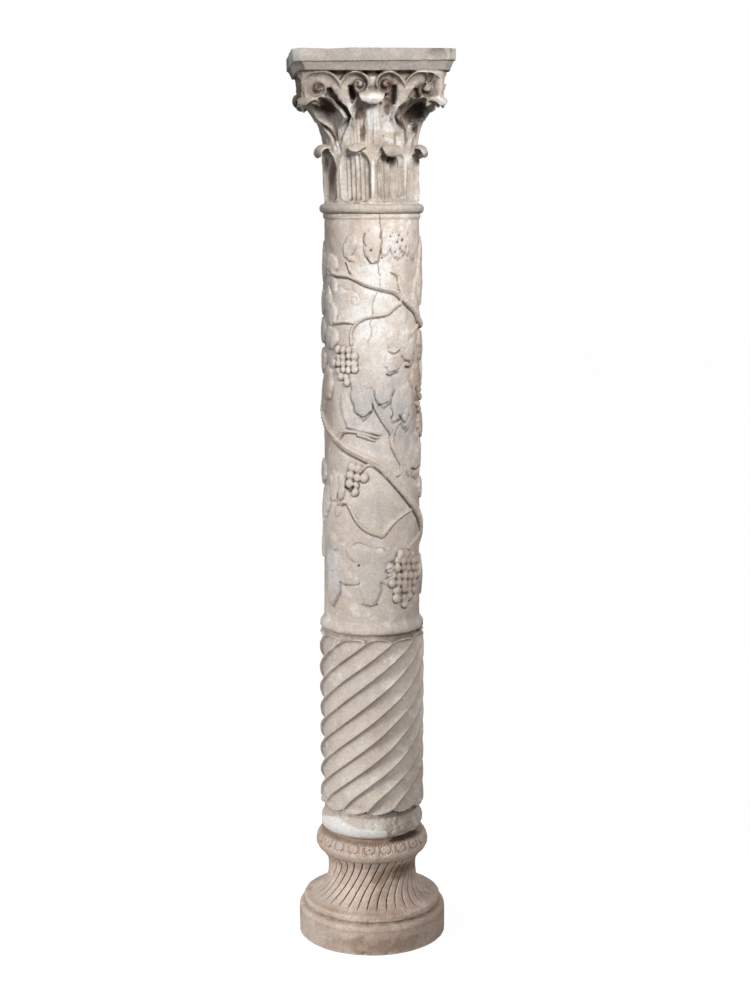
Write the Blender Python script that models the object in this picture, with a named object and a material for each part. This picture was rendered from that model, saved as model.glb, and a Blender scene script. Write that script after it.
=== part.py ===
"""A carved marble column, about two metres tall, in three blocks that stand by their own weight.

A round base with twisted reeds, a round shaft carved with a grape vine above twisted flutes, and a
leaf capital cut from one block with its neck ring and its square top slab.

Metres, +Z up, origin at the middle of the underside. The side that is seen first faces -Y.
Angles go round the axis in degrees, 0 at -Y and 90 at +X. All carving is a height above a turned surface.
"""

import math

import bmesh
import bpy
import numpy as np

# The three blocks and the joints between them
BASE_HEIGHT = 0.254
SHAFT_LENGTH = 1.3914
CAPITAL_HEIGHT = 0.339
JOINT_GAP = 0.0003

# Base
PLINTH_RADIUS = 0.1693
PLINTH_SIDE_HEIGHT = 0.0540
PLINTH_BAND_HEIGHT = 0.0115
PLINTH_BAND_ROUND = 0.0033
PLINTH_GROOVE_RADIUS = 0.1550
STEP_RADIUS = 0.1575
STEP_TOP = 0.0862
GROOVE_SHARE = 0.20
GROOVE_HEIGHT = 0.004
STEP_TREAD = 0.006
HOLLOW_CURVE = 2.2
NECK_RADIUS = 0.1014
NECK_HEIGHT = 0.152
NECK_FLARE = 0.010
RING_RADIUS = 0.1295
RING_MIDDLE = 0.218
RING_HALF_HEIGHT = 0.0235
RING_TOP_RADIUS = 0.119
SEAT_RADIUS = 0.1000
REED_COUNT = 36
REED_DEPTH = 0.0032
REED_TWIST = 24.0
REED_TOP = 0.196
REED_FOOT = 0.089
DISC_COUNT = 21
DISC_START = -2.4
DISC_RADIUS = 0.0118
DISC_GROOVE = 0.0016
DISC_HEIGHT = 0.2325
TOOTH_DEPTH = 0.0022

# Shaft, heights above its own underside
SHAFT_FOOT_RADIUS = 0.1125
SHAFT_FOOT_BULGE = 0.0063
SHAFT_FOOT_HEIGHT = 0.034
SHAFT_HOLLOW_RADIUS = 0.1095
FLUTE_CREST_RADIUS = 0.1188
FLUTE_BAND_FOOT = 0.0490
FLUTE_BAND_HEAD = 0.4690
FLUTE_FOOT = 0.0575
FLUTE_HEAD = 0.4600
FLUTE_COUNT = 12
FLUTE_LEAD = 0.580
FLUTE_DEPTH = 0.0085
FLUTE_START = 1.7
FLUTE_FILLET = 0.09
# Where across its width a flute is deepest, from its middle towards its upper edge
FLUTE_DEEPEST = 0.40
COLLAR_FOOT = 0.4722
COLLAR_FACE_HEIGHT = 0.010
COLLAR_SLOPE_HEIGHT = 0.014
COLLAR_RADIUS = 0.1180
VINE_FOOT_RADIUS = 0.1089
VINE_HEAD_RADIUS = 0.1047
HEAD_BAND_HEIGHT = 0.010
HEAD_BAND_RADIUS = 0.1076
STEM_RADIUS = 0.0070
STEM_RELIEF = 0.0085
BRANCH_RADIUS = 0.0045
BRANCH_RELIEF = 0.0055
VEIN_WIDTH = 0.0022
VEIN_SHARE = 0.25
# Grapes: apart in a row, rows apart and height, as shares of their radius, and the bed they stand on
GRAPE_APART = 1.85
GRAPE_ROWS_APART = 1.72
GRAPE_SHARE = 0.80
GRAPE_BED = 0.0025

# Capital, heights above its own underside. The carving keeps its share of the whole height
NECK_RING_RADIUS = 0.1150
NECK_RING_HEIGHT = 0.0215
NECK_RING_ROUND = 0.9
BELL_FOOT_RADIUS = 0.0985
BELL_HEAD_RADIUS = 0.116
# The slab sits turned a little to the right, and the carving under it less so
SLAB_TURN = 5.0
CARVING_TURN = 3.3
CAPITAL_LEAN = 0.027
SLAB_HALF_WIDTH = 0.1712
SLAB_FASCIA_HEIGHT = 0.0240
SLAB_FASCIA_EDGE = 0.0035
SLAB_MOULDING_HEIGHT = 0.0205
SLAB_MOULDING_SET_BACK = 0.0110
SLAB_NECK_SET_BACK = 0.0340
SLAB_NECK_HEIGHT = 0.014
# How much is cut off each corner of the slab: back left, front left, front right, back right
SLAB_CORNER_CUTS = (0.026, 0.026, 0.014, 0.026)
LOWER_LEAF_COUNT = 8
LOWER_LEAF_TOP = 0.400 * CAPITAL_HEIGHT
LOWER_LEAF_RELIEF = 0.0075
LOWER_LEAF_HOLLOW = 0.45
LOWER_ARCH_HEIGHT = 0.115 * CAPITAL_HEIGHT
LOWER_ARCH_SHARE = 0.82
LOWER_LIP_TOP = 0.432 * CAPITAL_HEIGHT
LOWER_LIP_REACH = 0.1285
LOWER_LIP_WIDTH = 0.046
LOWER_LIP_ROLL = 0.0160
LOWER_LIP_THICKNESS = 0.009
# Upper leaves from foot to tip: shares of the height, half widths in degrees, radii of middle and edge
CENTRE_LEAF_LEVELS = (0.366, 0.431, 0.481, 0.537, 0.590, 0.649, 0.714)
CENTRE_LEAF_WIDTHS = (38.0, 40.0, 36.0, 28.0, 22.5, 21.0, 13.0)
CENTRE_LEAF_MIDDLE = (0.1030, 0.1050, 0.1060, 0.1080, 0.1120, 0.1200, 0.1400)
CENTRE_LEAF_EDGE = (0.1040, 0.1070, 0.1100, 0.1160, 0.1250, 0.1370, 0.1500)
CENTRE_LIP_TOP = 0.752 * CAPITAL_HEIGHT
CENTRE_LIP_REACH = 0.164
CENTRE_LIP_WIDTH = 0.050
CENTRE_LIP_ROLL = 0.0150
CENTRE_LIP_THICKNESS = 0.012
CORNER_LEAF_LEVELS = (0.378, 0.442, 0.522, 0.563, 0.590, 0.628, 0.667, 0.714)
CORNER_LEAF_WIDTHS = (1.5, 2.0, 5.0, 14.0, 19.0, 17.0, 14.0, 10.0)
CORNER_LEAF_MIDDLE = (0.1010, 0.1010, 0.1020, 0.1040, 0.1060, 0.1120, 0.1280, 0.1700)
CORNER_LEAF_EDGE = (0.1030, 0.1060, 0.1120, 0.1250, 0.1330, 0.1450, 0.1600, 0.1850)
CORNER_LIP_TOP = 0.726 * CAPITAL_HEIGHT
CORNER_LIP_REACH = 0.206
CORNER_LIP_WIDTH = 0.056
CORNER_LIP_ROLL = 0.0145
CORNER_LIP_THICKNESS = 0.012
SCROLL_TOP = CAPITAL_HEIGHT - SLAB_FASCIA_HEIGHT - SLAB_MOULDING_HEIGHT
SCROLL_FOOT = 0.700 * CAPITAL_HEIGHT
SCROLL_FACE = 0.158
SCROLL_BACKGROUND = 0.134
SCROLL_DISH = 0.011
SCROLL_RIM = 0.0030
SCROLL_PARTING = 0.0665
SCROLL_CENTRE_ACROSS = 0.1116
SCROLL_CENTRE_HEIGHT = 0.7655 * CAPITAL_HEIGHT
# Radius of a scroll after each quarter turn, from its stalk over the top and in to its eye
SCROLL_RADII = (0.0490, 0.0345, 0.0258, 0.0235, 0.0165, 0.0135, 0.0120, 0.0095)
HELIX_CENTRE_ACROSS = 0.0273
HELIX_CENTRE_HEIGHT = 0.783 * CAPITAL_HEIGHT
HELIX_RADII = (0.0425, 0.0285, 0.0225, 0.0190, 0.0146, 0.0110, 0.0090, 0.0075)
STALK_FOOT = 0.570 * CAPITAL_HEIGHT
STALK_FOOT_ACROSS = 0.040
STALK_FOOT_HALF = 0.005
STALK_HEAD_HALF = 0.015
CORNER_BLOCK_REACH = 0.158
CORNER_BLOCK_CUT = 0.0225
CORNER_BLOCK_SET_BACK = 0.008
PLATE_INNER_DEPTH = 0.070
PLATE_THICKNESS = 0.008

# How finely the surfaces are cut, and how many facets are kept of them
COLUMNS = 288
ROW_HEIGHT = 0.003
BASE_FACETS = 2400
SHAFT_FACETS = 4150
CAPITAL_SHARE_KEPT = 0.0118
REMESH_SIZE = 0.0026
END_ALLOWANCE = 0.004

# The vine: routes of its stems as (degrees round, per cent up the carved band)
MAIN_STEM = (
    (83, 24.5), (63, 28.5), (48, 31.5), (33, 34.8), (22, 37.3), (11, 39.5), (1, 40.9), (-13, 42.3),
    (-28, 43.7), (-45, 45.7), (-56, 47.3), (-70, 49.2), (-95, 53.5), (-130, 60), (-165, 66.5),
    (-200, 71), (-235, 72.5), (-262, 73.5), (-282, 74.7), (-295, 77.5), (-308, 79.2), (-321, 81),
)
UPPER_STEM = (
    (39, 81), (29, 82.4), (18, 83), (9, 83.4), (-7, 84.3), (-18, 85.4), (-30, 86.3), (-49, 86.6),
    (-65, 88.5),
)
LOW_STEM = ((83, 24.5), (105, 19), (135, 13), (170, 8.5), (200, 7))
BRANCHES = (
    ((36, 79.8), (25, 78.3), (17, 77.1), (2, 76.6), (-7, 76.2), (-17, 75.2), (-23, 73.8), (-26, 72.1),
     (-25, 69.8)),
    ((-5, 60), (0, 57.5), (5, 54.3), (15, 50.6), (24, 47.8), (25, 45), (32, 42), (38, 39.8), (36, 37.8),
     (29, 37.1)),
    ((39, 81.2), (35, 84.3), (33, 86.3), (24, 87.4)),
    ((58, 79.9), (61, 83.4), (67, 86.1)),
    ((69, 73.7), (52, 71.8), (47, 70.5)),
    ((25, 47.6), (29, 49.3), (36, 50.8)),
    ((-43, 46.7), (-36, 48.1), (-22, 48.3), (-8, 47.8), (6, 46.9)),
    ((-41, 30), (-32, 30.6), (-26, 29.2), (-18, 26.2), (-9, 24.2), (0, 23.1), (8, 22.5), (12, 22.2)),
    ((12, 22.2), (17, 23.2), (26, 25.3), (39, 27.1), (54, 28.2)),
    ((18, 37.4), (9, 39.4), (0, 40.1), (-6, 40), (-11, 39)),
    ((78, 21.1), (58, 19.6), (50, 18.3)),
    ((120, 16), (128, 24), (140, 31)),
    ((-118, 57.5), (-128, 49), (-142, 42)),
    ((-190, 70), (-182, 62), (-170, 56)),
    ((-205, 71.3), (-212, 80), (-204, 87)),
)
# Swelling lobes of the leaves: degrees round, per cent up, heading from straight up, length, width, height
LOBES = (
    (-27, 93.4, 200, 0.055, 0.03, 0.0055), (0, 93.5, 180, 0.077, 0.04, 0.0065),
    (17, 94.9, 190, 0.07, 0.028, 0.005), (28, 94.9, 170, 0.083, 0.035, 0.006),
    (39, 95.4, 160, 0.079, 0.038, 0.006), (56, 94.8, 170, 0.09, 0.042, 0.006),
    (-57, 88.8, 190, 0.05, 0.05, 0.007), (-50, 84, 170, 0.04, 0.021, 0.005),
    (-62, 80.5, 10, 0.06, 0.03, 0.006), (-55, 77.1, 170, 0.052, 0.036, 0.0065),
    (-57, 71, 190, 0.055, 0.05, 0.0075), (45, 69, 160, 0.074, 0.06, 0.009),
    (26, 70.6, 190, 0.044, 0.03, 0.0055), (27, 65.9, 200, 0.058, 0.047, 0.0075),
    (14, 58.4, 185, 0.076, 0.048, 0.0075), (31, 55.2, 190, 0.082, 0.042, 0.0075),
    (46, 54.3, 180, 0.108, 0.058, 0.009), (-11, 56.5, 170, 0.092, 0.056, 0.009),
    (-30, 53.4, 165, 0.085, 0.031, 0.0045), (68, 60, 180, 0.09, 0.055, 0.008),
    (64, 42.5, 180, 0.12, 0.066, 0.009), (46, 42, 190, 0.076, 0.036, 0.007),
    (-51, 34.3, 180, 0.07, 0.034, 0.006), (-38, 34.3, 185, 0.062, 0.022, 0.0055),
    (-1, 14.4, 180, 0.09, 0.077, 0.005), (-2, 9.6, 183, 0.094, 0.054, 0.007),
    (-17, 12.8, 225, 0.076, 0.048, 0.0065), (-17, 17.4, 290, 0.058, 0.042, 0.006),
    (14, 16.8, 70, 0.059, 0.044, 0.006), (14, 12.6, 130, 0.062, 0.045, 0.006),
    (-53, 9.8, 185, 0.11, 0.056, 0.0075), (-36, 12.4, 140, 0.066, 0.044, 0.0065),
    (-56, 16, 0, 0.054, 0.052, 0.0065), (-53, 21, 150, 0.045, 0.03, 0.005),
    (-66, 60, 10, 0.08, 0.05, 0.007), (-70, 30, 200, 0.08, 0.045, 0.0065),
    (92, 91, 10, 0.09, 0.06, 0.006), (104, 62, 190, 0.09, 0.06, 0.007),
    (122, 60, 150, 0.07, 0.05, 0.007), (92, 10, 170, 0.1, 0.05, 0.0065),
    (142, 40, 10, 0.1, 0.05, 0.007), (128, 36, 320, 0.07, 0.05, 0.007),
    (156, 36, 60, 0.07, 0.05, 0.007), (-142, 34, 190, 0.1, 0.055, 0.007),
    (-156, 38, 250, 0.07, 0.045, 0.007), (-128, 38, 120, 0.07, 0.045, 0.007),
    (-168, 50, 180, 0.09, 0.06, 0.007), (-202, 92, 0, 0.09, 0.07, 0.007),
    (-120, 78, 20, 0.09, 0.07, 0.007), (-104, 82, 60, 0.06, 0.045, 0.006),
    (168, 20, 200, 0.09, 0.07, 0.007), (-105, 22, 170, 0.1, 0.05, 0.007),
    (-92, 18, 130, 0.07, 0.045, 0.0065), (-100, 90, 0, 0.08, 0.06, 0.006),
)
# Grape bunches: degrees round, per cent up of the middle, heading, length, width, grape radius
BUNCHES = (
    (-32.5, 64.7, 178, 0.1, 0.06, 0.0072), (-21, 36.2, 184, 0.074, 0.056, 0.008),
    (44, 12.4, 176, 0.14, 0.092, 0.0088), (74, 57, 180, 0.08, 0.03, 0.007),
    (118, 50, 180, 0.09, 0.056, 0.0074), (-150, 20, 180, 0.094, 0.06, 0.0074),
    (160, 82, 180, 0.09, 0.056, 0.0074),
)


def smooth(share):
    """0 below 0, 1 above 1 and a soft rise between."""
    share = np.clip(share, 0.0, 1.0)
    return share * share * (3.0 - 2.0 * share)


def half_round(share):
    return np.sqrt(np.clip(1.0 - share * share, 0.0, 1.0))


def around(turns, middle):
    """How far each turn lies from the middle, the short way round, in radians."""
    return (turns - middle + math.pi) % (2.0 * math.pi) - math.pi


def curve_through(points, steps=6):
    """A smooth line through the points, with so many steps between each two."""
    points = np.array(points, float)
    ends = np.vstack([2 * points[0] - points[1], points, 2 * points[-1] - points[-2]])
    share = np.linspace(0.0, 1.0, steps, endpoint=False)[:, None]
    spans = []
    for before, start, end, after in zip(ends, ends[1:], ends[2:], ends[3:]):
        spans.append(0.5 * (2 * start + (end - before) * share
                            + (2 * before - 5 * start + 4 * end - after) * share**2
                            + (3 * start - before - 3 * end + after) * share**3))
    return np.vstack(spans + [points[-1:]])


class Strip:
    """A round surface unrolled: relief[row, column] is how far the carving stands out of its ground."""

    def __init__(self, turns, heights, radius):
        self.turns = turns
        self.heights = heights
        self.radius = radius
        self.relief = np.zeros((len(heights), len(turns)))

    def window(self, turn, height, reach):
        """The cells near a point, with how far each lies across and up from it in metres."""
        across = around(self.turns, turn) * self.radius
        up = self.heights - height
        rows = np.nonzero(np.abs(up) <= reach)[0]
        columns = np.nonzero(np.abs(across) <= reach)[0]
        return np.ix_(rows, columns), across[columns][None, :], up[rows][:, None]

    def raise_to(self, cells, relief):
        self.relief[cells] = np.maximum(self.relief[cells], relief)

    def cut(self, cells, depth):
        self.relief[cells] -= depth


def carve_stem(strip, route, start_radius, end_radius, relief):
    """A round stem along a route of (turn, height) points, thinner towards its end."""
    line = curve_through(route)
    for index, (turn, height) in enumerate(line):
        radius = start_radius + (end_radius - start_radius) * index / (len(line) - 1)
        next_turn, next_height = line[min(index + 1, len(line) - 1)]
        step = np.array(((next_turn - turn) * strip.radius, next_height - height))
        length = max(float(np.hypot(*step)), 1e-6)
        cells, across, up = strip.window(turn, height, length + 2 * radius)
        share = np.clip((across * step[0] + up * step[1]) / length**2, 0.0, 1.0)
        away = np.hypot(across - share * step[0], up - share * step[1])
        share_left = min(1.0, radius / start_radius + 0.2)
        strip.raise_to(cells, relief * share_left * half_round(away / (1.2 * radius)))


def carve_lobe(strip, turn, height, heading, length, width, relief):
    """One swelling lobe of a leaf, narrower at its tip, with a groove down its middle."""
    cells, across, up = strip.window(turn, height, 0.62 * max(length, width))
    angle = math.radians(heading)
    along = across * math.sin(angle) + up * math.cos(angle)
    beside = across * math.cos(angle) - up * math.sin(angle)
    tip = along / (0.5 * length)
    side = beside / (0.5 * width * (1.0 - 0.30 * np.clip(tip, -1.0, 1.0)))
    out = np.hypot(tip, side)
    body = 0.42 + 0.58 * half_round(0.96 * out)
    groove = VEIN_SHARE * np.exp(-((beside / VEIN_WIDTH) ** 2)) * smooth((0.9 - np.abs(tip)) / 0.3)
    strip.raise_to(cells, relief * (body - groove) * smooth((1.0 - out) / 0.12))


def carve_bunch(strip, turn, height, heading, length, width, berry):
    """Grapes in close rows, widest near the stalk and fewer towards the tip."""
    angle = math.radians(heading)
    apart = GRAPE_APART * berry
    rows = max(2, int(length / (GRAPE_ROWS_APART * berry)))
    for row in range(rows):
        share = (row + 0.5) / rows
        row_width = width * math.sin(math.pi * min(1.0, 0.34 + 0.64 * share)) ** 0.7
        count = max(1, round(row_width / apart))
        for place in range(count):
            beside = (place - 0.5 * (count - 1)) * apart + 0.14 * berry * math.sin(5.0 * row + 3.0 * place)
            along = (share - 0.5) * length
            berry_turn = turn + (along * math.sin(angle) + beside * math.cos(angle)) / strip.radius
            berry_height = height + along * math.cos(angle) - beside * math.sin(angle)
            size = berry * (1.0 + 0.10 * math.sin(7.0 * place + 4.0 * row))
            cells, across, up = strip.window(berry_turn, berry_height, size)
            away = np.hypot(across, up) / size
            strip.raise_to(cells, GRAPE_BED * (away < 1.0) + GRAPE_SHARE * size * half_round(away))


def carve_vine(strip, foot, height):
    """All stems, leaves and bunches on a strip whose carved band has this foot and height."""

    def place_of(turn, share):
        return math.radians(turn), foot + 0.01 * share * height

    for turn, share, heading, length, width, relief in LOBES:
        carve_lobe(strip, *place_of(turn, share), heading, length, width, relief)
    for turn, share, heading, length, width, berry in BUNCHES:
        carve_bunch(strip, *place_of(turn, share), heading, length, width, berry)
    for route in BRANCHES:
        points = [place_of(*point) for point in route]
        carve_stem(strip, points, BRANCH_RADIUS, 0.7 * BRANCH_RADIUS, BRANCH_RELIEF)
    upper = [place_of(*point) for point in UPPER_STEM]
    carve_stem(strip, upper, 0.8 * STEM_RADIUS, 0.6 * STEM_RADIUS, 0.75 * STEM_RELIEF)
    carve_stem(strip, [place_of(*point) for point in MAIN_STEM], STEM_RADIUS, STEM_RADIUS, STEM_RELIEF)
    carve_stem(strip, [place_of(*point) for point in LOW_STEM], STEM_RADIUS, 1.2 * STEM_RADIUS, STEM_RELIEF)


def stone(name, colour, roughness):
    material = bpy.data.materials.new(name)
    material.use_nodes = True
    shader = material.node_tree.nodes["Principled BSDF"]
    shader.inputs["Base Color"].default_value = (*colour, 1.0)
    shader.inputs["Roughness"].default_value = roughness
    shader.inputs["Metallic"].default_value = 0.0
    return material


def new_object(name, points, faces):
    mesh = bpy.data.meshes.new(name)
    mesh.from_pydata(points, [], faces)
    made = bpy.data.objects.new(name, mesh)
    bpy.context.scene.collection.objects.link(made)
    return made


def round_body(name, turns, heights, radii):
    """A closed body with one ring of points for each height and flat ends."""
    columns = len(turns)
    points = [(radii[row, column] * math.sin(turn), -radii[row, column] * math.cos(turn), height)
              for row, height in enumerate(heights) for column, turn in enumerate(turns)]
    faces = [(row * columns + column, row * columns + (column + 1) % columns,
              (row + 1) * columns + (column + 1) % columns, (row + 1) * columns + column)
             for row in range(len(heights) - 1) for column in range(columns)]
    last = (len(heights) - 1) * columns
    foot, head = len(points), len(points) + 1
    points += [(0.0, 0.0, heights[0]), (0.0, 0.0, heights[-1])]
    faces += [(foot, (column + 1) % columns, column) for column in range(columns)]
    faces += [(head, last + column, last + (column + 1) % columns) for column in range(columns)]
    return new_object(name, points, faces)


def fewer_facets(body, facets):
    """A Decimate modifier that keeps about so many triangles."""
    triangles = sum(len(face.vertices) - 2 for face in body.data.polygons)
    body.modifiers.new("facets", "DECIMATE").ratio = facets / triangles


def sawn_flat(body, foot, head, reach):
    """Cuts the body square at both ends, so that it keeps only what lies between foot and head."""
    cutter_mesh = bpy.data.meshes.new(body.name + "_between_cuts")
    form = bmesh.new()
    bmesh.ops.create_cone(form, cap_ends=True, segments=8, radius1=reach, radius2=reach, depth=head - foot)
    bmesh.ops.translate(form, verts=form.verts, vec=(0.0, 0.0, 0.5 * (foot + head)))
    form.to_mesh(cutter_mesh)
    form.free()
    cutter = bpy.data.objects.new(cutter_mesh.name, cutter_mesh)
    bpy.context.scene.collection.objects.link(cutter)
    cutter.hide_render = True
    cutter.display_type = "WIRE"
    cut = body.modifiers.new("sawn ends", "BOOLEAN")
    cut.operation = "INTERSECT"
    cut.object = cutter


def rows_between(foot, head):
    """Heights from just below foot to just above head."""
    count = round((head - foot + 2 * END_ALLOWANCE) / ROW_HEIGHT)
    return np.linspace(foot - END_ALLOWANCE, head + END_ALLOWANCE, count + 1)


def base_profile(heights):
    """Radius of the turned base at each height: plinth, band, groove, step, hollow neck, ring and seat."""
    band_top = PLINTH_SIDE_HEIGHT + PLINTH_BAND_HEIGHT
    outline = [(-1.0, PLINTH_RADIUS), (PLINTH_SIDE_HEIGHT, PLINTH_RADIUS)]
    for share in (0.25, 0.5, 0.75, 1.0):
        lost = PLINTH_BAND_ROUND * (1.0 - math.sqrt(1.0 - share**2))
        outline.append((PLINTH_SIDE_HEIGHT + share * PLINTH_BAND_HEIGHT, PLINTH_RADIUS - lost))
    groove_foot = band_top + GROOVE_SHARE * (STEP_TOP - band_top)
    outline += [(groove_foot, PLINTH_GROOVE_RADIUS), (groove_foot + GROOVE_HEIGHT, PLINTH_GROOVE_RADIUS),
                (groove_foot + GROOVE_HEIGHT + 0.001, STEP_RADIUS), (STEP_TOP - 0.002, STEP_RADIUS),
                (STEP_TOP, STEP_RADIUS - 0.002)]
    slope_radius = STEP_RADIUS - STEP_TREAD
    for share in np.linspace(0.0, 1.0, 9):
        lift = 1.0 - (1.0 - min(share, 1.0) ** HOLLOW_CURVE) ** 0.5
        outline.append((STEP_TOP + 0.001 + lift * (NECK_HEIGHT - STEP_TOP),
                        slope_radius - share * (slope_radius - NECK_RADIUS)))
    ring_foot = RING_MIDDLE - RING_HALF_HEIGHT
    outline += [(NECK_HEIGHT + 0.6 * (ring_foot - NECK_HEIGHT), NECK_RADIUS + 0.0015),
                (ring_foot - 0.004, NECK_RADIUS + NECK_FLARE)]
    for bearing in np.radians(np.linspace(-75, 62, 9)):
        outline.append((RING_MIDDLE + RING_HALF_HEIGHT * math.sin(bearing),
                        RING_TOP_RADIUS + (RING_RADIUS - RING_TOP_RADIUS) * math.cos(bearing)))
    ring_top = outline[-1][0]
    outline += [(ring_top + 0.0015, RING_TOP_RADIUS), (ring_top + 0.003, SEAT_RADIUS + 0.002),
                (ring_top + 0.006, SEAT_RADIUS), (10.0, SEAT_RADIUS)]
    outline = np.array(outline)
    return np.interp(heights, outline[:, 0], outline[:, 1])


def make_base():
    turns = np.arange(COLUMNS) * 2.0 * math.pi / COLUMNS
    heights = rows_between(0.0, BASE_HEIGHT)
    radii = np.repeat(base_profile(heights)[:, None], COLUMNS, axis=1)
    strip = Strip(turns, heights, RING_RADIUS)
    # Reeds: hollows with a sharp edge between, which swing to the left as they run down and out
    fall = smooth((REED_TOP - heights) / (REED_TOP - REED_FOOT))
    swing = math.radians(REED_TWIST) * fall[:, None]
    across = (REED_COUNT * (turns[None, :] + swing) / (2.0 * math.pi)) % 1.0
    fade = smooth((heights - REED_FOOT) / 0.008) * smooth((REED_TOP - heights) / 0.010)
    strip.relief -= REED_DEPTH * fade[:, None] * np.sin(math.pi * across) ** 0.8
    # Discs with a ring cut round each and a hole in the middle, and small teeth above them
    for place in range(DISC_COUNT):
        turn = math.radians(DISC_START + 360.0 * place / DISC_COUNT)
        cells, beside, up = strip.window(turn, DISC_HEIGHT, 1.6 * DISC_RADIUS)
        away = np.hypot(beside, up * 1.25) / DISC_RADIUS
        strip.cut(cells, DISC_GROOVE * np.exp(-(((away - 0.95) / 0.20) ** 2)))
        strip.cut(cells, DISC_GROOVE * np.exp(-((away / 0.22) ** 2)))
    on_rim = np.exp(-(((heights - RING_MIDDLE - 0.9 * RING_HALF_HEIGHT) / 0.003) ** 2))
    strip.relief -= TOOTH_DEPTH * on_rim[:, None] * (np.cos(4 * DISC_COUNT * turns) < 0.0)[None, :]
    base = round_body("base", turns, heights, radii + strip.relief)
    fewer_facets(base, BASE_FACETS)
    sawn_flat(base, 0.0, BASE_HEIGHT, 2.0 * PLINTH_RADIUS)
    base.data.materials.append(stone("warm pink-brown marble", (0.56, 0.44, 0.35), 0.68))


def flute_relief(turns, heights):
    """Depth below the crest of twisted flutes with round ends, for each height and turn."""
    slope = math.atan2(FLUTE_LEAD, 2.0 * math.pi * FLUTE_CREST_RADIUS)
    rise_each = FLUTE_LEAD / FLUTE_COUNT
    half_width = 0.5 * rise_each * math.cos(slope)
    climbed = 2.0 * math.pi * (heights - FLUTE_FOOT)[:, None] / FLUTE_LEAD
    foot_turn = turns[None, :] - math.radians(FLUTE_START) - climbed
    each = 2.0 * math.pi / FLUTE_COUNT
    off = ((foot_turn + 0.5 * each) % each - 0.5 * each) * FLUTE_CREST_RADIUS * math.sin(slope)
    run = (heights[:, None] - FLUTE_FOOT) / math.sin(slope)
    full_run = (FLUTE_HEAD - FLUTE_FOOT) / math.sin(slope)
    past_end = np.maximum(half_width - run, run - (full_run - half_width))
    away = np.hypot(off, np.maximum(past_end, 0.0)) / half_width
    open_width = half_width * (1.0 - FLUTE_FILLET)
    toward_upper = -off / open_width
    upper = np.clip((toward_upper - FLUTE_DEEPEST) / (1.0 - FLUTE_DEEPEST), 0.0, 1.0)
    lower = np.clip((FLUTE_DEEPEST - toward_upper) / (1.0 + FLUTE_DEEPEST), 0.0, 1.0)
    ends = np.clip(past_end / open_width, 0.0, 1.0)
    trough = FLUTE_DEPTH * half_round(np.hypot(np.maximum(upper, lower), ends))
    outside = FLUTE_DEPTH * smooth((away - 1.0) / FLUTE_FILLET)
    return np.where(away < 1.0, trough, outside)


def shaft_profile(heights):
    """Radius of the ground of the shaft at each height above its underside."""
    collar_head = COLLAR_FOOT + COLLAR_FACE_HEIGHT + COLLAR_SLOPE_HEIGHT
    foot = []
    for share in np.linspace(0.0, 1.0, 7):
        bulge = SHAFT_FOOT_BULGE * math.sin(math.pi * min(1.0, 0.15 + 0.85 * share))
        foot.append((share * SHAFT_FOOT_HEIGHT, SHAFT_FOOT_RADIUS + bulge))
    outline = [(-1.0, foot[0][1])] + foot + [
        (FLUTE_BAND_FOOT - 0.008, SHAFT_HOLLOW_RADIUS), (FLUTE_BAND_FOOT, SHAFT_HOLLOW_RADIUS),
        (FLUTE_BAND_FOOT + 0.001, FLUTE_CREST_RADIUS), (FLUTE_BAND_HEAD, FLUTE_CREST_RADIUS),
        (FLUTE_BAND_HEAD + 0.001, FLUTE_CREST_RADIUS - FLUTE_DEPTH),
        (COLLAR_FOOT - 0.001, FLUTE_CREST_RADIUS - FLUTE_DEPTH),
        (COLLAR_FOOT, COLLAR_RADIUS), (COLLAR_FOOT + COLLAR_FACE_HEIGHT, COLLAR_RADIUS),
        (collar_head, VINE_FOOT_RADIUS), (SHAFT_LENGTH - HEAD_BAND_HEIGHT - 0.003, VINE_HEAD_RADIUS),
        (SHAFT_LENGTH - HEAD_BAND_HEIGHT, HEAD_BAND_RADIUS), (10.0, HEAD_BAND_RADIUS)]
    outline = np.array(outline)
    return np.interp(heights, outline[:, 0], outline[:, 1])


def make_shaft():
    underside = BASE_HEIGHT + JOINT_GAP
    turns = np.arange(COLUMNS) * 2.0 * math.pi / COLUMNS
    heights = rows_between(0.0, SHAFT_LENGTH)
    radii = np.repeat(shaft_profile(heights)[:, None], COLUMNS, axis=1)
    in_flutes = (heights > FLUTE_BAND_FOOT) & (heights < FLUTE_BAND_HEAD)
    radii[in_flutes] -= flute_relief(turns, heights[in_flutes])
    vine_foot = COLLAR_FOOT + COLLAR_FACE_HEIGHT + COLLAR_SLOPE_HEIGHT
    vine_height = SHAFT_LENGTH - HEAD_BAND_HEIGHT - vine_foot
    strip = Strip(turns, heights, VINE_FOOT_RADIUS)
    carve_vine(strip, vine_foot, vine_height)
    inside = smooth((heights - vine_foot) / 0.006) * smooth((vine_foot + vine_height - heights) / 0.006)
    radii += strip.relief * inside[:, None]
    shaft = round_body("shaft", turns, heights + underside, radii)
    fewer_facets(shaft, SHAFT_FACETS)
    sawn_flat(shaft, underside, underside + SHAFT_LENGTH, 2.0 * FLUTE_CREST_RADIUS)
    shaft.data.materials.append(stone("cream marble", (0.64, 0.57, 0.49), 0.62))


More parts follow.
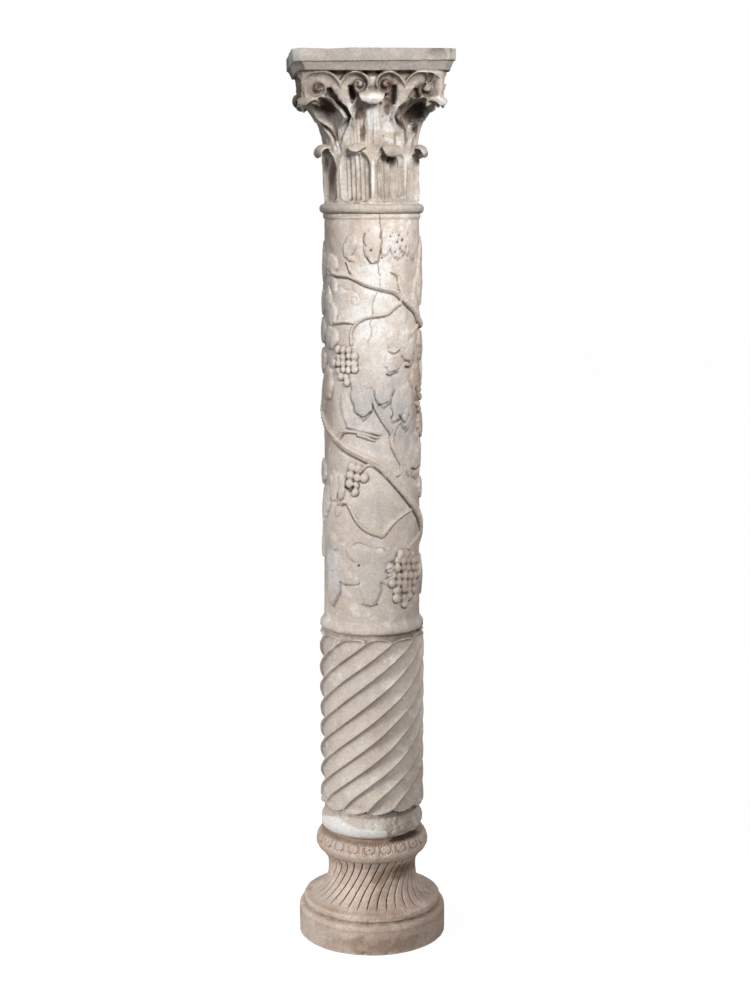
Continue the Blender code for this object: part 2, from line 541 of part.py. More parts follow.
def capital_round(turns, heights):
    """Neck ring, bell and both rows of leaves of the capital, as a radius for each height and turn."""
    ring_middle = 0.5 * NECK_RING_HEIGHT
    roll = NECK_RING_ROUND * ring_middle * (1.0 - half_round((heights - ring_middle) / ring_middle))
    ring = np.where(heights < NECK_RING_HEIGHT, NECK_RING_RADIUS - roll, 0.0)
    climb = np.clip((heights - NECK_RING_HEIGHT) / (SCROLL_TOP - NECK_RING_HEIGHT), 0.0, 1.0)
    bell = BELL_FOOT_RADIUS + (BELL_HEAD_RADIUS - BELL_FOOT_RADIUS) * climb**2
    radii = np.repeat(np.maximum(ring, bell)[:, None], len(turns), axis=1)
    level = heights[:, None]
    local = turns[None, :] - math.radians(CARVING_TURN)

    # Lower leaves: tall hollow arches between raised edges, with reeds inside
    each = 2.0 * math.pi / LOWER_LEAF_COUNT
    off = np.abs(local % each - 0.5 * each) / (0.5 * each)
    over_arch = np.maximum(level - LOWER_LEAF_TOP + LOWER_ARCH_HEIGHT, 0.0) / LOWER_ARCH_HEIGHT
    out = np.hypot(off / LOWER_ARCH_SHARE, over_arch)
    edge = np.exp(-(((out - 1.0) / 0.13) ** 2))
    between = 0.75 * smooth((out - 1.0) / 0.1) * smooth((LOWER_LEAF_TOP - level) / 0.03)
    reeds = 0.20 * np.cos(7.0 * math.pi * off) * smooth((0.9 - out) / 0.2)
    hollow = LOWER_LEAF_HOLLOW * smooth((0.95 - out) / 0.3)
    rise = smooth((level - NECK_RING_HEIGHT) / 0.005) * smooth((LOWER_LEAF_TOP + 0.012 - level) / 0.012)
    radii += LOWER_LEAF_RELIEF * (np.maximum(edge, between) + reeds - hollow) * rise

    # Upper leaves: one in the middle of each side and a hollow one under each corner, bending outwards
    quarter = 0.5 * math.pi
    for first, levels, widths, middle_radii, edge_radii in (
        (0.0, CENTRE_LEAF_LEVELS, CENTRE_LEAF_WIDTHS, CENTRE_LEAF_MIDDLE, CENTRE_LEAF_EDGE),
        (0.5, CORNER_LEAF_LEVELS, CORNER_LEAF_WIDTHS, CORNER_LEAF_MIDDLE, CORNER_LEAF_EDGE),
    ):
        beside = np.abs((local - first * quarter + 0.5 * quarter) % quarter - 0.5 * quarter)
        share = heights / CAPITAL_HEIGHT
        half = np.radians(np.interp(share, levels, widths))[:, None]
        middle = np.interp(share, levels, middle_radii)[:, None]
        rim = np.interp(share, levels, edge_radii)[:, None]
        out = beside / half
        leaf = middle + (rim - middle) * smooth((out - 0.45) / 0.42)
        leaf -= (rim - bell[:, None]) * smooth((out - 1.0) / 0.12)
        present = (out < 1.12) & (share > levels[0])[:, None] & (share < levels[-1])[:, None]
        radii = np.where(present, np.maximum(radii, leaf), radii)
    return radii


def scroll(across, height, middle_across, middle_height, quarter_radii, face):
    """Front of one spiral: its band leaves the stalk, climbs over the top and winds in to its eye."""
    toward_stalk = np.abs(across) - middle_across
    if middle_across > SCROLL_PARTING:
        toward_stalk = -toward_stalk
    up = height - middle_height
    out = np.hypot(toward_stalk, up)
    bearing = np.degrees(np.arctan2(up, toward_stalk)) % 360.0
    quarters = 90.0 * np.arange(len(quarter_radii))
    raised = smooth((0.8 * quarter_radii[-1] - out) / 0.003)
    for wound in (bearing, bearing + 360.0):
        band = np.interp(wound, quarters, quarter_radii)
        raised = np.maximum(raised, np.exp(-(((out - band + SCROLL_RIM) / SCROLL_RIM) ** 2)))
    inside = out < np.interp(bearing, quarters, quarter_radii)
    return np.where(inside, face - SCROLL_DISH * (1.0 - raised), 0.0)


def side_front(across, height):
    """How far the scrolls and stalks of one side of the capital stand out from its middle plane."""
    share = height / CAPITAL_HEIGHT
    face = np.interp(share, (0.546, 0.620, 0.708, 0.780), (0.116, 0.129, 0.147, SCROLL_FACE))
    front = np.interp(share, (0.59, 0.71, 0.85), (0.118, 0.126, SCROLL_BACKGROUND)) + 0.0 * across
    climb = np.clip((height - STALK_FOOT) / (HELIX_CENTRE_HEIGHT - STALK_FOOT), 0.0, 1.0)
    stalk_middle = STALK_FOOT_ACROSS + (SCROLL_PARTING - STALK_FOOT_ACROSS) * climb**0.8
    stalk_half = STALK_FOOT_HALF + (STALK_HEAD_HALF - STALK_FOOT_HALF) * climb
    off = (np.abs(across) - stalk_middle) / stalk_half
    on_stalk = (np.abs(off) < 1.0) & (height < HELIX_CENTRE_HEIGHT)
    stalk = np.where(on_stalk, face - 0.006 * (1.0 - half_round(off)), 0.0)
    corner = scroll(across, height, SCROLL_CENTRE_ACROSS, SCROLL_CENTRE_HEIGHT, SCROLL_RADII, face)
    helix = scroll(across, height, HELIX_CENTRE_ACROSS, HELIX_CENTRE_HEIGHT, HELIX_RADII, face - 0.003)
    block = np.where(np.abs(across) > SCROLL_CENTRE_ACROSS, SCROLL_FACE - CORNER_BLOCK_SET_BACK, 0.0)
    for part in (stalk, corner, helix, block):
        front = np.maximum(front, part)
    # The corners are cut off square to the diagonal
    return np.minimum(front, 2.0 * CORNER_BLOCK_REACH - CORNER_BLOCK_CUT - np.abs(across))


def stitched(front, back):
    """Points and faces of a closed body between two grids of points of the same shape."""
    rows, columns = front.shape[:2]
    count = rows * columns
    points = np.vstack([front.reshape(-1, 3), back.reshape(-1, 3)])
    faces = []
    for row in range(rows - 1):
        for column in range(columns - 1):
            first = row * columns + column
            quad = (first, first + 1, first + columns + 1, first + columns)
            faces.append(quad)
            faces.append(tuple(count + corner for corner in reversed(quad)))
    around_edge = list(range(columns))
    around_edge += [row * columns + columns - 1 for row in range(1, rows)]
    around_edge += [(rows - 1) * columns + column for column in range(columns - 2, -1, -1)]
    around_edge += [row * columns for row in range(rows - 2, 0, -1)]
    for here, following in zip(around_edge, around_edge[1:] + around_edge[:1]):
        faces.append((following, here, count + here, count + following))
    return points, faces


def side_plate(turn):
    """The scrolls of one side as a closed wedge that meets its neighbours at the corners."""
    shares = np.linspace(0.0, 1.0, 30)
    across_line = np.linspace(-CORNER_BLOCK_REACH, CORNER_BLOCK_REACH, 121)
    above_leaf, above_stalk = 0.5 * (SCROLL_FOOT + STALK_FOOT), 0.7 * SCROLL_FOOT + 0.3 * STALK_FOOT
    foot = np.interp(np.abs(across_line), (0.0, 0.03, STALK_FOOT_ACROSS, 0.055, 0.075),
                     (SCROLL_FOOT, above_leaf, STALK_FOOT, above_stalk, SCROLL_FOOT))
    across = np.repeat(across_line[None, :], len(shares), axis=0)
    height = foot[None, :] + shares[:, None] * (SCROLL_TOP + 0.002 - foot[None, :])
    front = side_front(across, height)
    back = np.minimum(np.maximum(PLATE_INNER_DEPTH, np.abs(across) - 0.012), front - PLATE_THICKNESS)

    def placed(depth):
        return np.stack([across * math.cos(turn) + depth * math.sin(turn),
                         across * math.sin(turn) - depth * math.cos(turn), height], axis=2)

    return stitched(placed(front), placed(back))


def lip(turn, reach, top, width, roll, thickness):
    """The tip of a leaf rolled forwards and down: a thick hooked sheet with a round end."""
    shares = np.linspace(0.0, 1.0, 15)[:, None]
    sides = np.linspace(-1.0, 1.0, 11)[None, :]
    bearing = math.pi * (1.10 - 1.40 * shares)
    half = 0.5 * width * half_round(np.clip((shares - 0.45) / 0.55, 0.0, 0.96))
    sag = 0.45 * roll * sides**2

    def skin(size):
        radius = reach - roll + size * np.cos(bearing) - 0.25 * sag
        height = top - roll + size * np.sin(bearing) - sag
        spread = turn + sides * half / reach
        return np.stack([radius * np.sin(spread), -radius * np.cos(spread), height + 0.0 * spread], axis=2)

    thick = thickness * (1.0 - 0.45 * np.abs(sides))
    return stitched(skin(roll - thick), skin(roll + 0.0 * thick))


def slab():
    """The square top with a flat edge band, a hollow moulding under it and a narrow neck below that."""
    moulding_head = CAPITAL_HEIGHT - SLAB_FASCIA_HEIGHT
    levels = [(CAPITAL_HEIGHT + END_ALLOWANCE, 0.0), (moulding_head, 0.0),
              (moulding_head - 0.0005, SLAB_FASCIA_EDGE)]
    for share in (0.25, 0.5, 0.75, 1.0):
        set_back = (SLAB_MOULDING_SET_BACK - SLAB_FASCIA_EDGE) * math.sin(0.5 * math.pi * share)
        levels.append((moulding_head - share * SLAB_MOULDING_HEIGHT, SLAB_FASCIA_EDGE + set_back))
    for below in (0.0005, SLAB_NECK_HEIGHT):
        levels.append((SCROLL_TOP - below, SLAB_NECK_SET_BACK))
    points = []
    for height, set_back in levels:
        half = SLAB_HALF_WIDTH - set_back
        for corner, cut in enumerate(SLAB_CORNER_CUTS):
            turn = math.radians(SLAB_TURN - 90.0 + 90.0 * corner)
            for beside, depth in ((-half + cut, half), (half - SLAB_CORNER_CUTS[(corner + 1) % 4], half)):
                points.append((beside * math.cos(turn) + depth * math.sin(turn),
                               beside * math.sin(turn) - depth * math.cos(turn), height))
    faces = [tuple(range(8)), tuple(reversed(range(len(points) - 8, len(points))))]
    for level in range(len(levels) - 1):
        for corner in range(8):
            here, following = 8 * level + corner, 8 * level + (corner + 1) % 8
            faces.append((here, here + 8, following + 8, following))
    return np.array(points), faces


def make_capital():
    underside = BASE_HEIGHT + SHAFT_LENGTH + 2 * JOINT_GAP
    turns = np.arange(COLUMNS) * 2.0 * math.pi / COLUMNS
    heights = np.arange(-END_ALLOWANCE, SCROLL_TOP + END_ALLOWANCE, ROW_HEIGHT)
    capital = round_body("capital", turns, heights, capital_round(turns, heights))
    shapes = [slab()]
    turned = math.radians(CARVING_TURN)
    for side in range(4):
        turn = turned + side * 0.5 * math.pi
        shapes.append(side_plate(turn))
        shapes.append(lip(turn, CENTRE_LIP_REACH, CENTRE_LIP_TOP, CENTRE_LIP_WIDTH, CENTRE_LIP_ROLL,
                          CENTRE_LIP_THICKNESS))
        shapes.append(lip(turn + 0.25 * math.pi, CORNER_LIP_REACH, CORNER_LIP_TOP, CORNER_LIP_WIDTH,
                          CORNER_LIP_ROLL, CORNER_LIP_THICKNESS))
    for place in range(LOWER_LEAF_COUNT):
        turn = turned + (place + 0.5) * 2.0 * math.pi / LOWER_LEAF_COUNT
        shapes.append(lip(turn, LOWER_LIP_REACH, LOWER_LIP_TOP, LOWER_LIP_WIDTH, LOWER_LIP_ROLL,
                          LOWER_LIP_THICKNESS))
    form = bmesh.new()
    form.from_mesh(capital.data)
    for points, faces in shapes:
        corners = [form.verts.new(point) for point in points]
        for face in faces:
            form.faces.new([corners[index] for index in face])
    # The block leans a little to the left above its neck ring
    for point in form.verts:
        point.co.x -= CAPITAL_LEAN * max(0.0, point.co.z - NECK_RING_HEIGHT)
    bmesh.ops.translate(form, verts=form.verts, vec=(0.0, 0.0, underside))
    form.to_mesh(capital.data)
    form.free()
    joined = capital.modifiers.new("one block", "REMESH")
    joined.mode = "VOXEL"
    joined.voxel_size = REMESH_SIZE
    fewer = capital.modifiers.new("facets", "DECIMATE")
    fewer.ratio = CAPITAL_SHARE_KEPT
    sawn_flat(capital, underside, underside + CAPITAL_HEIGHT, 2.0 * SLAB_HALF_WIDTH)
    capital.data.materials.append(stone("grey-white marble", (0.60, 0.55, 0.49), 0.66))


for leftover in list(bpy.data.objects):
    bpy.data.objects.remove(leftover)
make_base()
make_shaft()
make_capital()
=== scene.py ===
import math

import bmesh
import bpy
import mathutils
import numpy as np
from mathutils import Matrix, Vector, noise


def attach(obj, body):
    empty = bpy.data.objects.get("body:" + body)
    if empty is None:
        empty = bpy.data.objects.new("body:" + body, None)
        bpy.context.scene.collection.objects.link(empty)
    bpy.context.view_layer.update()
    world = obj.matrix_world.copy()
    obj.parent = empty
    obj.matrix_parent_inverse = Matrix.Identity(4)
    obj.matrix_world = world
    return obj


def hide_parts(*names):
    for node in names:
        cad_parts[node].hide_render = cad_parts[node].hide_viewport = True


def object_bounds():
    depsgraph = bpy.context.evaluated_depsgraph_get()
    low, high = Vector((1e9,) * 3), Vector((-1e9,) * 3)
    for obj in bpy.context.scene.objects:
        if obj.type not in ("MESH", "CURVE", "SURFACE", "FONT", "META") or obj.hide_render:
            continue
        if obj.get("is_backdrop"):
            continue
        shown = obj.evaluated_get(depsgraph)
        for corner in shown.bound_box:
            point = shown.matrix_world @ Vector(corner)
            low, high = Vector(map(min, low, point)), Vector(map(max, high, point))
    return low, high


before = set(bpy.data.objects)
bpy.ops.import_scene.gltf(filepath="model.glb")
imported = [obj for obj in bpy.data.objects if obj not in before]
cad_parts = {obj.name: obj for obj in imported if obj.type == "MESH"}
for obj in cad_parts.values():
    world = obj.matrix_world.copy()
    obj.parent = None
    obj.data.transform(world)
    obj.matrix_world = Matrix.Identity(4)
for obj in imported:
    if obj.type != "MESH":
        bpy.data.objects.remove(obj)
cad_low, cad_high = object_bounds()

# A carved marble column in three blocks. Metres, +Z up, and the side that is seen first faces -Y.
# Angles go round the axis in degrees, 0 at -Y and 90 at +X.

# Base
# A block of warm brownish marble turned to a plinth, a hollow neck and a ring, then cut by hand with
# thirty-six twisted reeds and a row of small drilled discs. It stands on its own flat underside.


def smooth(share):
    """0 below 0, 1 above 1 and a soft rise between."""
    share = np.clip(share, 0.0, 1.0)
    return share * share * (3.0 - 2.0 * share)


def half_round(share):
    return np.sqrt(np.clip(1.0 - share * share, 0.0, 1.0))


def bump(share):
    """A soft hump, 1 in the middle and near 0 beyond two steps away."""
    return np.exp(-share * share)


def around(turns, middle):
    """How far each turn lies from the middle, the short way round, in radians."""
    return (turns - middle + math.pi) % (2.0 * math.pi) - math.pi


class Wall:
    """A turned surface unrolled. relief stands out of it, and groove is cut into it last."""

    def __init__(self, foot, head, step, columns, radius):
        self.turns = np.arange(columns) * 2.0 * math.pi / columns
        self.heights = np.linspace(foot, head, round((head - foot) / step) + 1)
        self.radius = radius
        self.relief = np.zeros((len(self.heights), columns))
        self.groove = np.zeros((len(self.heights), columns))
        self.dark = np.zeros((len(self.heights), columns))

    def turned(self, outline):
        """The radius of each cell as it comes off the lathe, from (height, radius) points."""
        heights, radii = np.array(outline).T
        return np.interp(self.heights, heights, radii)[:, None] + np.zeros_like(self.relief)

    def near(self, turn, height, reach):
        """The cells near a point, with how far each lies across and up from it in metres."""
        across = around(self.turns, math.radians(turn)) * self.radius
        up = self.heights - height
        rows = np.nonzero(np.abs(up) <= reach)[0]
        columns = np.nonzero(np.abs(across) <= reach)[0]
        return np.ix_(rows, columns), across[columns][None, :], up[rows][:, None]

    def raise_to(self, cells, relief):
        self.relief[cells] = np.maximum(self.relief[cells], relief)

    def cut_to(self, cells, depth):
        self.groove[cells] = np.maximum(self.groove[cells], depth)

    # Painted shade: darkens the cells where shade falls, keeping the darkest value
    def darken(self, cells, painted_shade):
        self.dark[cells] = np.maximum(self.dark[cells], painted_shade)

    def dark_at(self, turns, heights):
        """The painted shade laid on the wall at the mesh's points."""
        row = (heights - self.heights[0]) / (self.heights[1] - self.heights[0])
        row = np.clip(np.round(row).astype(int), 0, len(self.heights) - 1)
        column = np.round(turns / (self.turns[1] - self.turns[0])).astype(int) % len(self.turns)
        return self.dark[row, column]

    def waves(self, cell, seed):
        """Soft random waves about -1 to 1, one for each cell of that size."""
        rows = max(2, round((self.heights[-1] - self.heights[0]) / cell) + 1)
        columns = max(3, round(2.0 * math.pi * self.radius / cell))
        grid = np.random.default_rng(seed).uniform(-1.0, 1.0, (rows + 1, columns))
        down = np.linspace(0.0, rows - 1e-6, len(self.heights))
        along = np.arange(len(self.turns)) * columns / len(self.turns)
        row, column = down.astype(int), along.astype(int)
        down_share = smooth(down - row)[:, None]
        along_share = smooth(along - column)[None, :]
        after = (column + 1) % columns

        def blended(line):
            return grid[np.ix_(line, column)] * (1 - along_share) + grid[np.ix_(line, after)] * along_share

        return blended(row) * (1 - down_share) + blended(row + 1) * down_share

    def pits(self, middle, spread, low, high, count, size, depth, seed):
        """Small holes strewn over a window of degrees and heights."""
        draws = np.random.default_rng(seed)
        for _ in range(count):
            turn = middle + spread * draws.uniform(-1.0, 1.0)
            height = draws.uniform(low, high)
            radius = size * draws.uniform(0.5, 1.3)
            cells, across, up = self.near(turn, height, 2.5 * radius)
            self.cut_to(cells, depth * draws.uniform(0.4, 1.0) * bump(np.hypot(across, up) / radius))


def grid_object(name, radii, turns, heights, most_faces):
    """A closed body with one ring of points for each height and flat ends, thinned to so many triangles."""
    rows, columns = radii.shape
    points = np.empty((rows * columns + 2, 3))
    points[:-2, 0] = (radii * np.sin(turns)[None, :]).ravel()
    points[:-2, 1] = (-radii * np.cos(turns)[None, :]).ravel()
    points[:-2, 2] = np.repeat(heights, columns)
    points[-2] = (0.0, 0.0, heights[0])
    points[-1] = (0.0, 0.0, heights[-1])
    first = (np.arange(rows - 1)[:, None] * columns + np.arange(columns)[None, :]).ravel()
    beside = (np.arange(rows - 1)[:, None] * columns + (np.arange(columns)[None, :] + 1) % columns).ravel()
    around_ring = np.arange(columns)
    ring_after = (around_ring + 1) % columns
    last = (rows - 1) * columns
    faces = np.vstack([
        np.stack([first, beside, beside + columns], axis=1),
        np.stack([first, beside + columns, first + columns], axis=1),
        np.stack([np.full(columns, len(points) - 2), ring_after, around_ring], axis=1),
        np.stack([np.full(columns, len(points) - 1), last + around_ring, last + ring_after], axis=1)])
    mesh = bpy.data.meshes.new(name)
    mesh.vertices.add(len(points))
    mesh.vertices.foreach_set("co", points.ravel())
    mesh.loops.add(3 * len(faces))
    mesh.loops.foreach_set("vertex_index", faces.ravel())
    mesh.polygons.add(len(faces))
    mesh.polygons.foreach_set("loop_start", np.arange(0, 3 * len(faces), 3))
    mesh.update(calc_edges=True)
    made = bpy.data.objects.new(name, mesh)
    bpy.context.scene.collection.objects.link(made)
    thin(made, most_faces)
    return made


def settle(made):
    """Turns the object's modifiers into its mesh."""
    graph = bpy.context.evaluated_depsgraph_get()
    mesh = bpy.data.meshes.new_from_object(made.evaluated_get(graph))
    made.modifiers.clear()
    made.data = mesh


def thin(made, most_faces):
    faces = sum(len(face.vertices) - 2 for face in made.data.polygons)
    made.modifiers.new("thinner", "DECIMATE").ratio = min(1.0, most_faces / faces)
    settle(made)


def points_of(made):
    points = np.empty(3 * len(made.data.vertices))
    made.data.vertices.foreach_get("co", points)
    return points.reshape(-1, 3)


def keep_between(made, foot, head):
    """Puts points that strayed past the flat ends back on them."""
    points = points_of(made)
    low, high = points[:, 2] < foot + 0.0003, points[:, 2] > head - 0.0003
    points[low, 2] = foot
    points[high, 2] = head
    made.data.vertices.foreach_set("co", points.ravel())
    made.data.update()


class Paint:
    """Where stains, wear, painted shade and painted highlights lie on a piece, one value for each point of
    its mesh.
    """

    def __init__(self, made, radius):
        self.mesh = made.data
        points = points_of(made)
        self.turns = np.arctan2(points[:, 0], -points[:, 1])
        self.heights = points[:, 2]
        self.from_side = np.where(points[:, 1] < 0.0, points[:, 0], 9.0)
        self.radius = radius
        self.break_up = np.array([noise.noise(mathutils.Vector(point) * 45.0) for point in points])
        self.out = np.hypot(points[:, 0], points[:, 1])
        self.break_up += 0.5 * np.array([noise.noise(mathutils.Vector(point) * 160.0) for point in points])
        self.layers = {name: np.zeros(len(points)) for name in ("pale", "brown", "grey", "hollow", "warm")}

    def lay(self, layer, strength):
        self.layers[layer] = np.maximum(self.layers[layer], strength)

    def oval(self, layer, across, up, strength, soft, ragged):
        """A stain or a patch of painted shade, with a ragged edge. across and up count in the patch's own
        half sizes.
        """
        self.lay(layer, strength * smooth((1.0 + ragged * self.break_up - np.hypot(across, up)) / soft))

    def spots(self, rows):
        """Stains and painted shade: layer, degrees round, height, half width and half height in millimetres,
        and strength.
        """
        for layer, turn, height, wide, tall, strength, *edge in rows:
            across = around(self.turns, math.radians(turn)) * self.radius / (0.001 * wide)
            up = (self.heights - 0.001 * height) / (0.001 * tall)
            self.oval(layer, across, up, strength, *(edge + [0.6, 0.5][len(edge):]))

    def front_spots(self, rows):
        """The same, placed as they are seen from the front: by millimetres right of the middle."""
        for layer, from_middle, height, wide, tall, strength, *edge in rows:
            across = (self.from_side - 0.001 * from_middle) / (0.001 * wide)
            up = (self.heights - 0.001 * height) / (0.001 * tall)
            self.oval(layer, across, up, strength, *(edge + [0.45, 0.4][len(edge):]))

    def line(self, layer, route, width, strength):
        """Along a route of (degrees, height) points."""
        for (turn, height), (next_turn, next_height) in zip(route, route[1:]):
            across = around(self.turns, math.radians(turn)) * self.radius
            up = self.heights - height
            step = (math.radians(next_turn - turn) * self.radius, next_height - height)
            length = max(math.hypot(*step), 1e-5)
            share = np.clip((across * step[0] + up * step[1]) / length**2, 0.0, 1.0)
            away = np.hypot(across - share * step[0], up - share * step[1])
            self.lay(layer, strength * bump(away / width))

    def done(self):
        for name, values in self.layers.items():
            kept = self.mesh.attributes.new(name, "FLOAT", "POINT")
            kept.data.foreach_set("value", np.clip(values, 0.0, 1.0).astype(np.float32))


def marble(name, light, shade, pale, brown, grey, dark):
    """Old marble: two tones in cloudy patches, fine specks, stains where the paint says, and painted shade
    in sheltered crevices and where the hollow layer says.
    """
    material = bpy.data.materials.new(name)
    material.use_nodes = True
    tree = material.node_tree
    shader = tree.nodes["Principled BSDF"]
    place = tree.nodes.new("ShaderNodeTexCoord").outputs["Object"]

    def clouds(scale, detail, roughness=0.55, stretch=None):
        made = tree.nodes.new("ShaderNodeTexNoise")
        made.inputs["Scale"].default_value = scale
        made.inputs["Detail"].default_value = detail
        made.inputs["Roughness"].default_value = roughness
        if stretch:
            mapping = tree.nodes.new("ShaderNodeMapping")
            mapping.inputs["Scale"].default_value = stretch
            tree.links.new(place, mapping.inputs["Vector"])
            tree.links.new(mapping.outputs["Vector"], made.inputs["Vector"])
        else:
            tree.links.new(place, made.inputs["Vector"])
        return made.outputs["Fac"]

    def spread(value, low, high, to_low=0.0, to_high=1.0):
        made = tree.nodes.new("ShaderNodeMapRange")
        made.interpolation_type = "SMOOTHSTEP"
        made.inputs["From Min"].default_value = low
        made.inputs["From Max"].default_value = high
        made.inputs["To Min"].default_value = to_low
        made.inputs["To Max"].default_value = to_high
        tree.links.new(value, made.inputs["Value"])
        return made.outputs["Result"]

    def sums(operation, first, second):
        made = tree.nodes.new("ShaderNodeMath")
        made.operation = operation
        for socket, value in zip(made.inputs, (first, second)):
            if isinstance(value, float):
                socket.default_value = value
            else:
                tree.links.new(value, socket)
        return made.outputs["Value"]

    def mixed(factor, first, second, blend="MIX"):
        made = tree.nodes.new("ShaderNodeMix")
        made.data_type = "RGBA"
        made.blend_type = blend
        tree.links.new(factor, made.inputs["Factor"])
        for socket, value in ((made.inputs[6], first), (made.inputs[7], second)):
            if isinstance(value, tuple):
                socket.default_value = (*value, 1.0)
            else:
                tree.links.new(value, socket)
        return made.outputs[2]

    def layer(name):
        made = tree.nodes.new("ShaderNodeAttribute")
        made.attribute_name = name
        return made.outputs["Fac"]

    broad = clouds(7.0, 5.0)
    patchy = clouds(31.0, 6.0, 0.62)
    streaks = clouds(16.0, 5.0, 0.6, (1.6, 1.6, 0.45))
    fine = clouds(210.0, 4.0, 0.65)
    colour = mixed(spread(broad, 0.4, 0.62), light, shade)
    colour = mixed(sums("MULTIPLY", spread(patchy, 0.48, 0.66), 0.62), colour, pale)
    colour = mixed(sums("MULTIPLY", spread(streaks, 0.52, 0.72), 0.5), colour, brown)
    veins = spread(sums("ABSOLUTE", sums("SUBTRACT", clouds(13.0, 7.0, 0.7), 0.5), 0.0), 0.011, 0.0)
    vein_share = sums("MULTIPLY", spread(broad, 0.4, 0.6), 0.55)
    colour = mixed(sums("MULTIPLY", veins, vein_share), colour, brown)
    colour = mixed(layer("pale"), colour, pale)
    colour = mixed(layer("warm"), colour, mixed(spread(patchy, 0.4, 0.6, 0.0, 0.35), light, brown))
    colour = mixed(sums("MULTIPLY", layer("grey"), spread(patchy, 0.32, 0.55, 0.55, 1.0)), colour, grey)
    colour = mixed(sums("MULTIPLY", layer("brown"), spread(patchy, 0.34, 0.58, 0.5, 1.0)), colour, brown)
    # Painted shade: the colour darkens in streaks where the surface is sheltered
    shelter = tree.nodes.new("ShaderNodeAmbientOcclusion")
    shelter.samples = 6
    shelter.only_local = True
    shelter.inputs["Distance"].default_value = 0.014
    streaked = spread(streaks, 0.3, 0.55, 0.55, 1.0)
    painted_shade = sums("MULTIPLY", spread(shelter.outputs["AO"], 0.78, 0.3), streaked)
    colour = mixed(sums("MULTIPLY", painted_shade, 0.95), colour, dark)
    # Painted shade where the hollow layer says
    colour = mixed(layer("hollow"), colour, tuple(0.35 * value for value in dark))
    colour = mixed(spread(fine, 0.3, 0.7, 0.3, 0.0), colour, tuple(0.5 * value for value in brown))
    tree.links.new(colour, shader.inputs["Base Color"])
    tree.links.new(spread(patchy, 0.3, 0.7, 0.62, 0.78), shader.inputs["Roughness"])
    shader.inputs["Specular IOR Level"].default_value = 0.35
    rough = tree.nodes.new("ShaderNodeBump")
    rough.inputs["Strength"].default_value = 0.55
    rough.inputs["Distance"].default_value = 0.0012
    tree.links.new(sums("ADD", sums("MULTIPLY", fine, 0.6), clouds(75.0, 6.0, 0.7)), rough.inputs["Height"])
    tree.links.new(rough.outputs["Normal"], shader.inputs["Normal"])
    return material


def dressed(made, material, node):
    made.data.materials.clear()
    made.data.materials.append(material)
    made.data.polygons.foreach_set("use_smooth", np.ones(len(made.data.polygons), bool))
    made.data.update()
    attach(made, "root")
    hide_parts(node)


BASE_HEAD = 0.254
# The turned outline from the foot up, as height and radius
BASE_OUTLINE = (
    (0.0, 0.1688), (0.0012, 0.1693), (0.054, 0.1693), (0.0575, 0.169), (0.062, 0.168),
    (0.0652, 0.1662), (0.0664, 0.16), (0.0676, 0.1556), (0.0716, 0.155), (0.073, 0.1574),
    (0.083, 0.1576), (0.0854, 0.1565), (0.0866, 0.1535), (0.0875, 0.148), (0.0892, 0.142),
    (0.0935, 0.134), (0.103, 0.12), (0.116, 0.1095), (0.13, 0.1032), (0.148, 0.1012), (0.166, 0.1014),
    (0.178, 0.104), (0.188, 0.111), (0.1935, 0.114), (0.1955, 0.1165), (0.203, 0.1245),
    (0.212, 0.129), (0.22, 0.1296), (0.229, 0.1276), (0.237, 0.124), (0.2402, 0.1205),
    (0.2418, 0.104), (0.245, 0.1002), (BASE_HEAD, 0.1),
)
# Reeds: twisted round the hollow neck, their foot towards the right
REED_COUNT = 36
REED_TWIST = math.radians(24.0)
REED_DEPTH = 0.0054
REED_FOOT = 0.088
REED_HEAD = 0.1965
# Where each reed's cut lies across it, and where its swelling ends, as shares of its width
REED_CUT = 0.93
REED_SWELL = 0.86
# Discs: drilled and cut round the ring, the first one's place in degrees
DISC_COUNT = 21
DISC_START = -2.4
DISC_RADIUS = 0.0122
DISC_HEIGHT = 0.2315
SEAT_EDGE = 0.2395
BASE_REACH = 0.1691
BASE_TRIANGLES = 150000

wall = Wall(0.0, BASE_HEAD, 0.001, 900, 0.125)
radii = wall.turned(BASE_OUTLINE)
twist_foot, twist_head = 0.086, 0.197
fall = smooth((twist_head - wall.heights) / (twist_head - twist_foot))
wander = 0.014 * wall.waves(0.05, 3)
phase = REED_COUNT * (wall.turns[None, :] + REED_TWIST * fall[:, None] + wander) / (2.0 * math.pi) % 1.0
fade = (smooth((wall.heights - REED_FOOT) / 0.008) * smooth((REED_HEAD - wall.heights) / 0.005))[:, None]
uneven = 1.0 + 0.25 * wall.waves(0.03, 4)
# Each reed swells on its left and ends on its right in a thin deep cut
lie = np.where(phase < REED_SWELL, 1.0 - 0.62 * half_round(phase / REED_SWELL - 0.3),
               1.0 + 0.55 * bump((phase - REED_CUT) / 0.035))
wall.groove += REED_DEPTH * fade * uneven * (lie - 0.38)
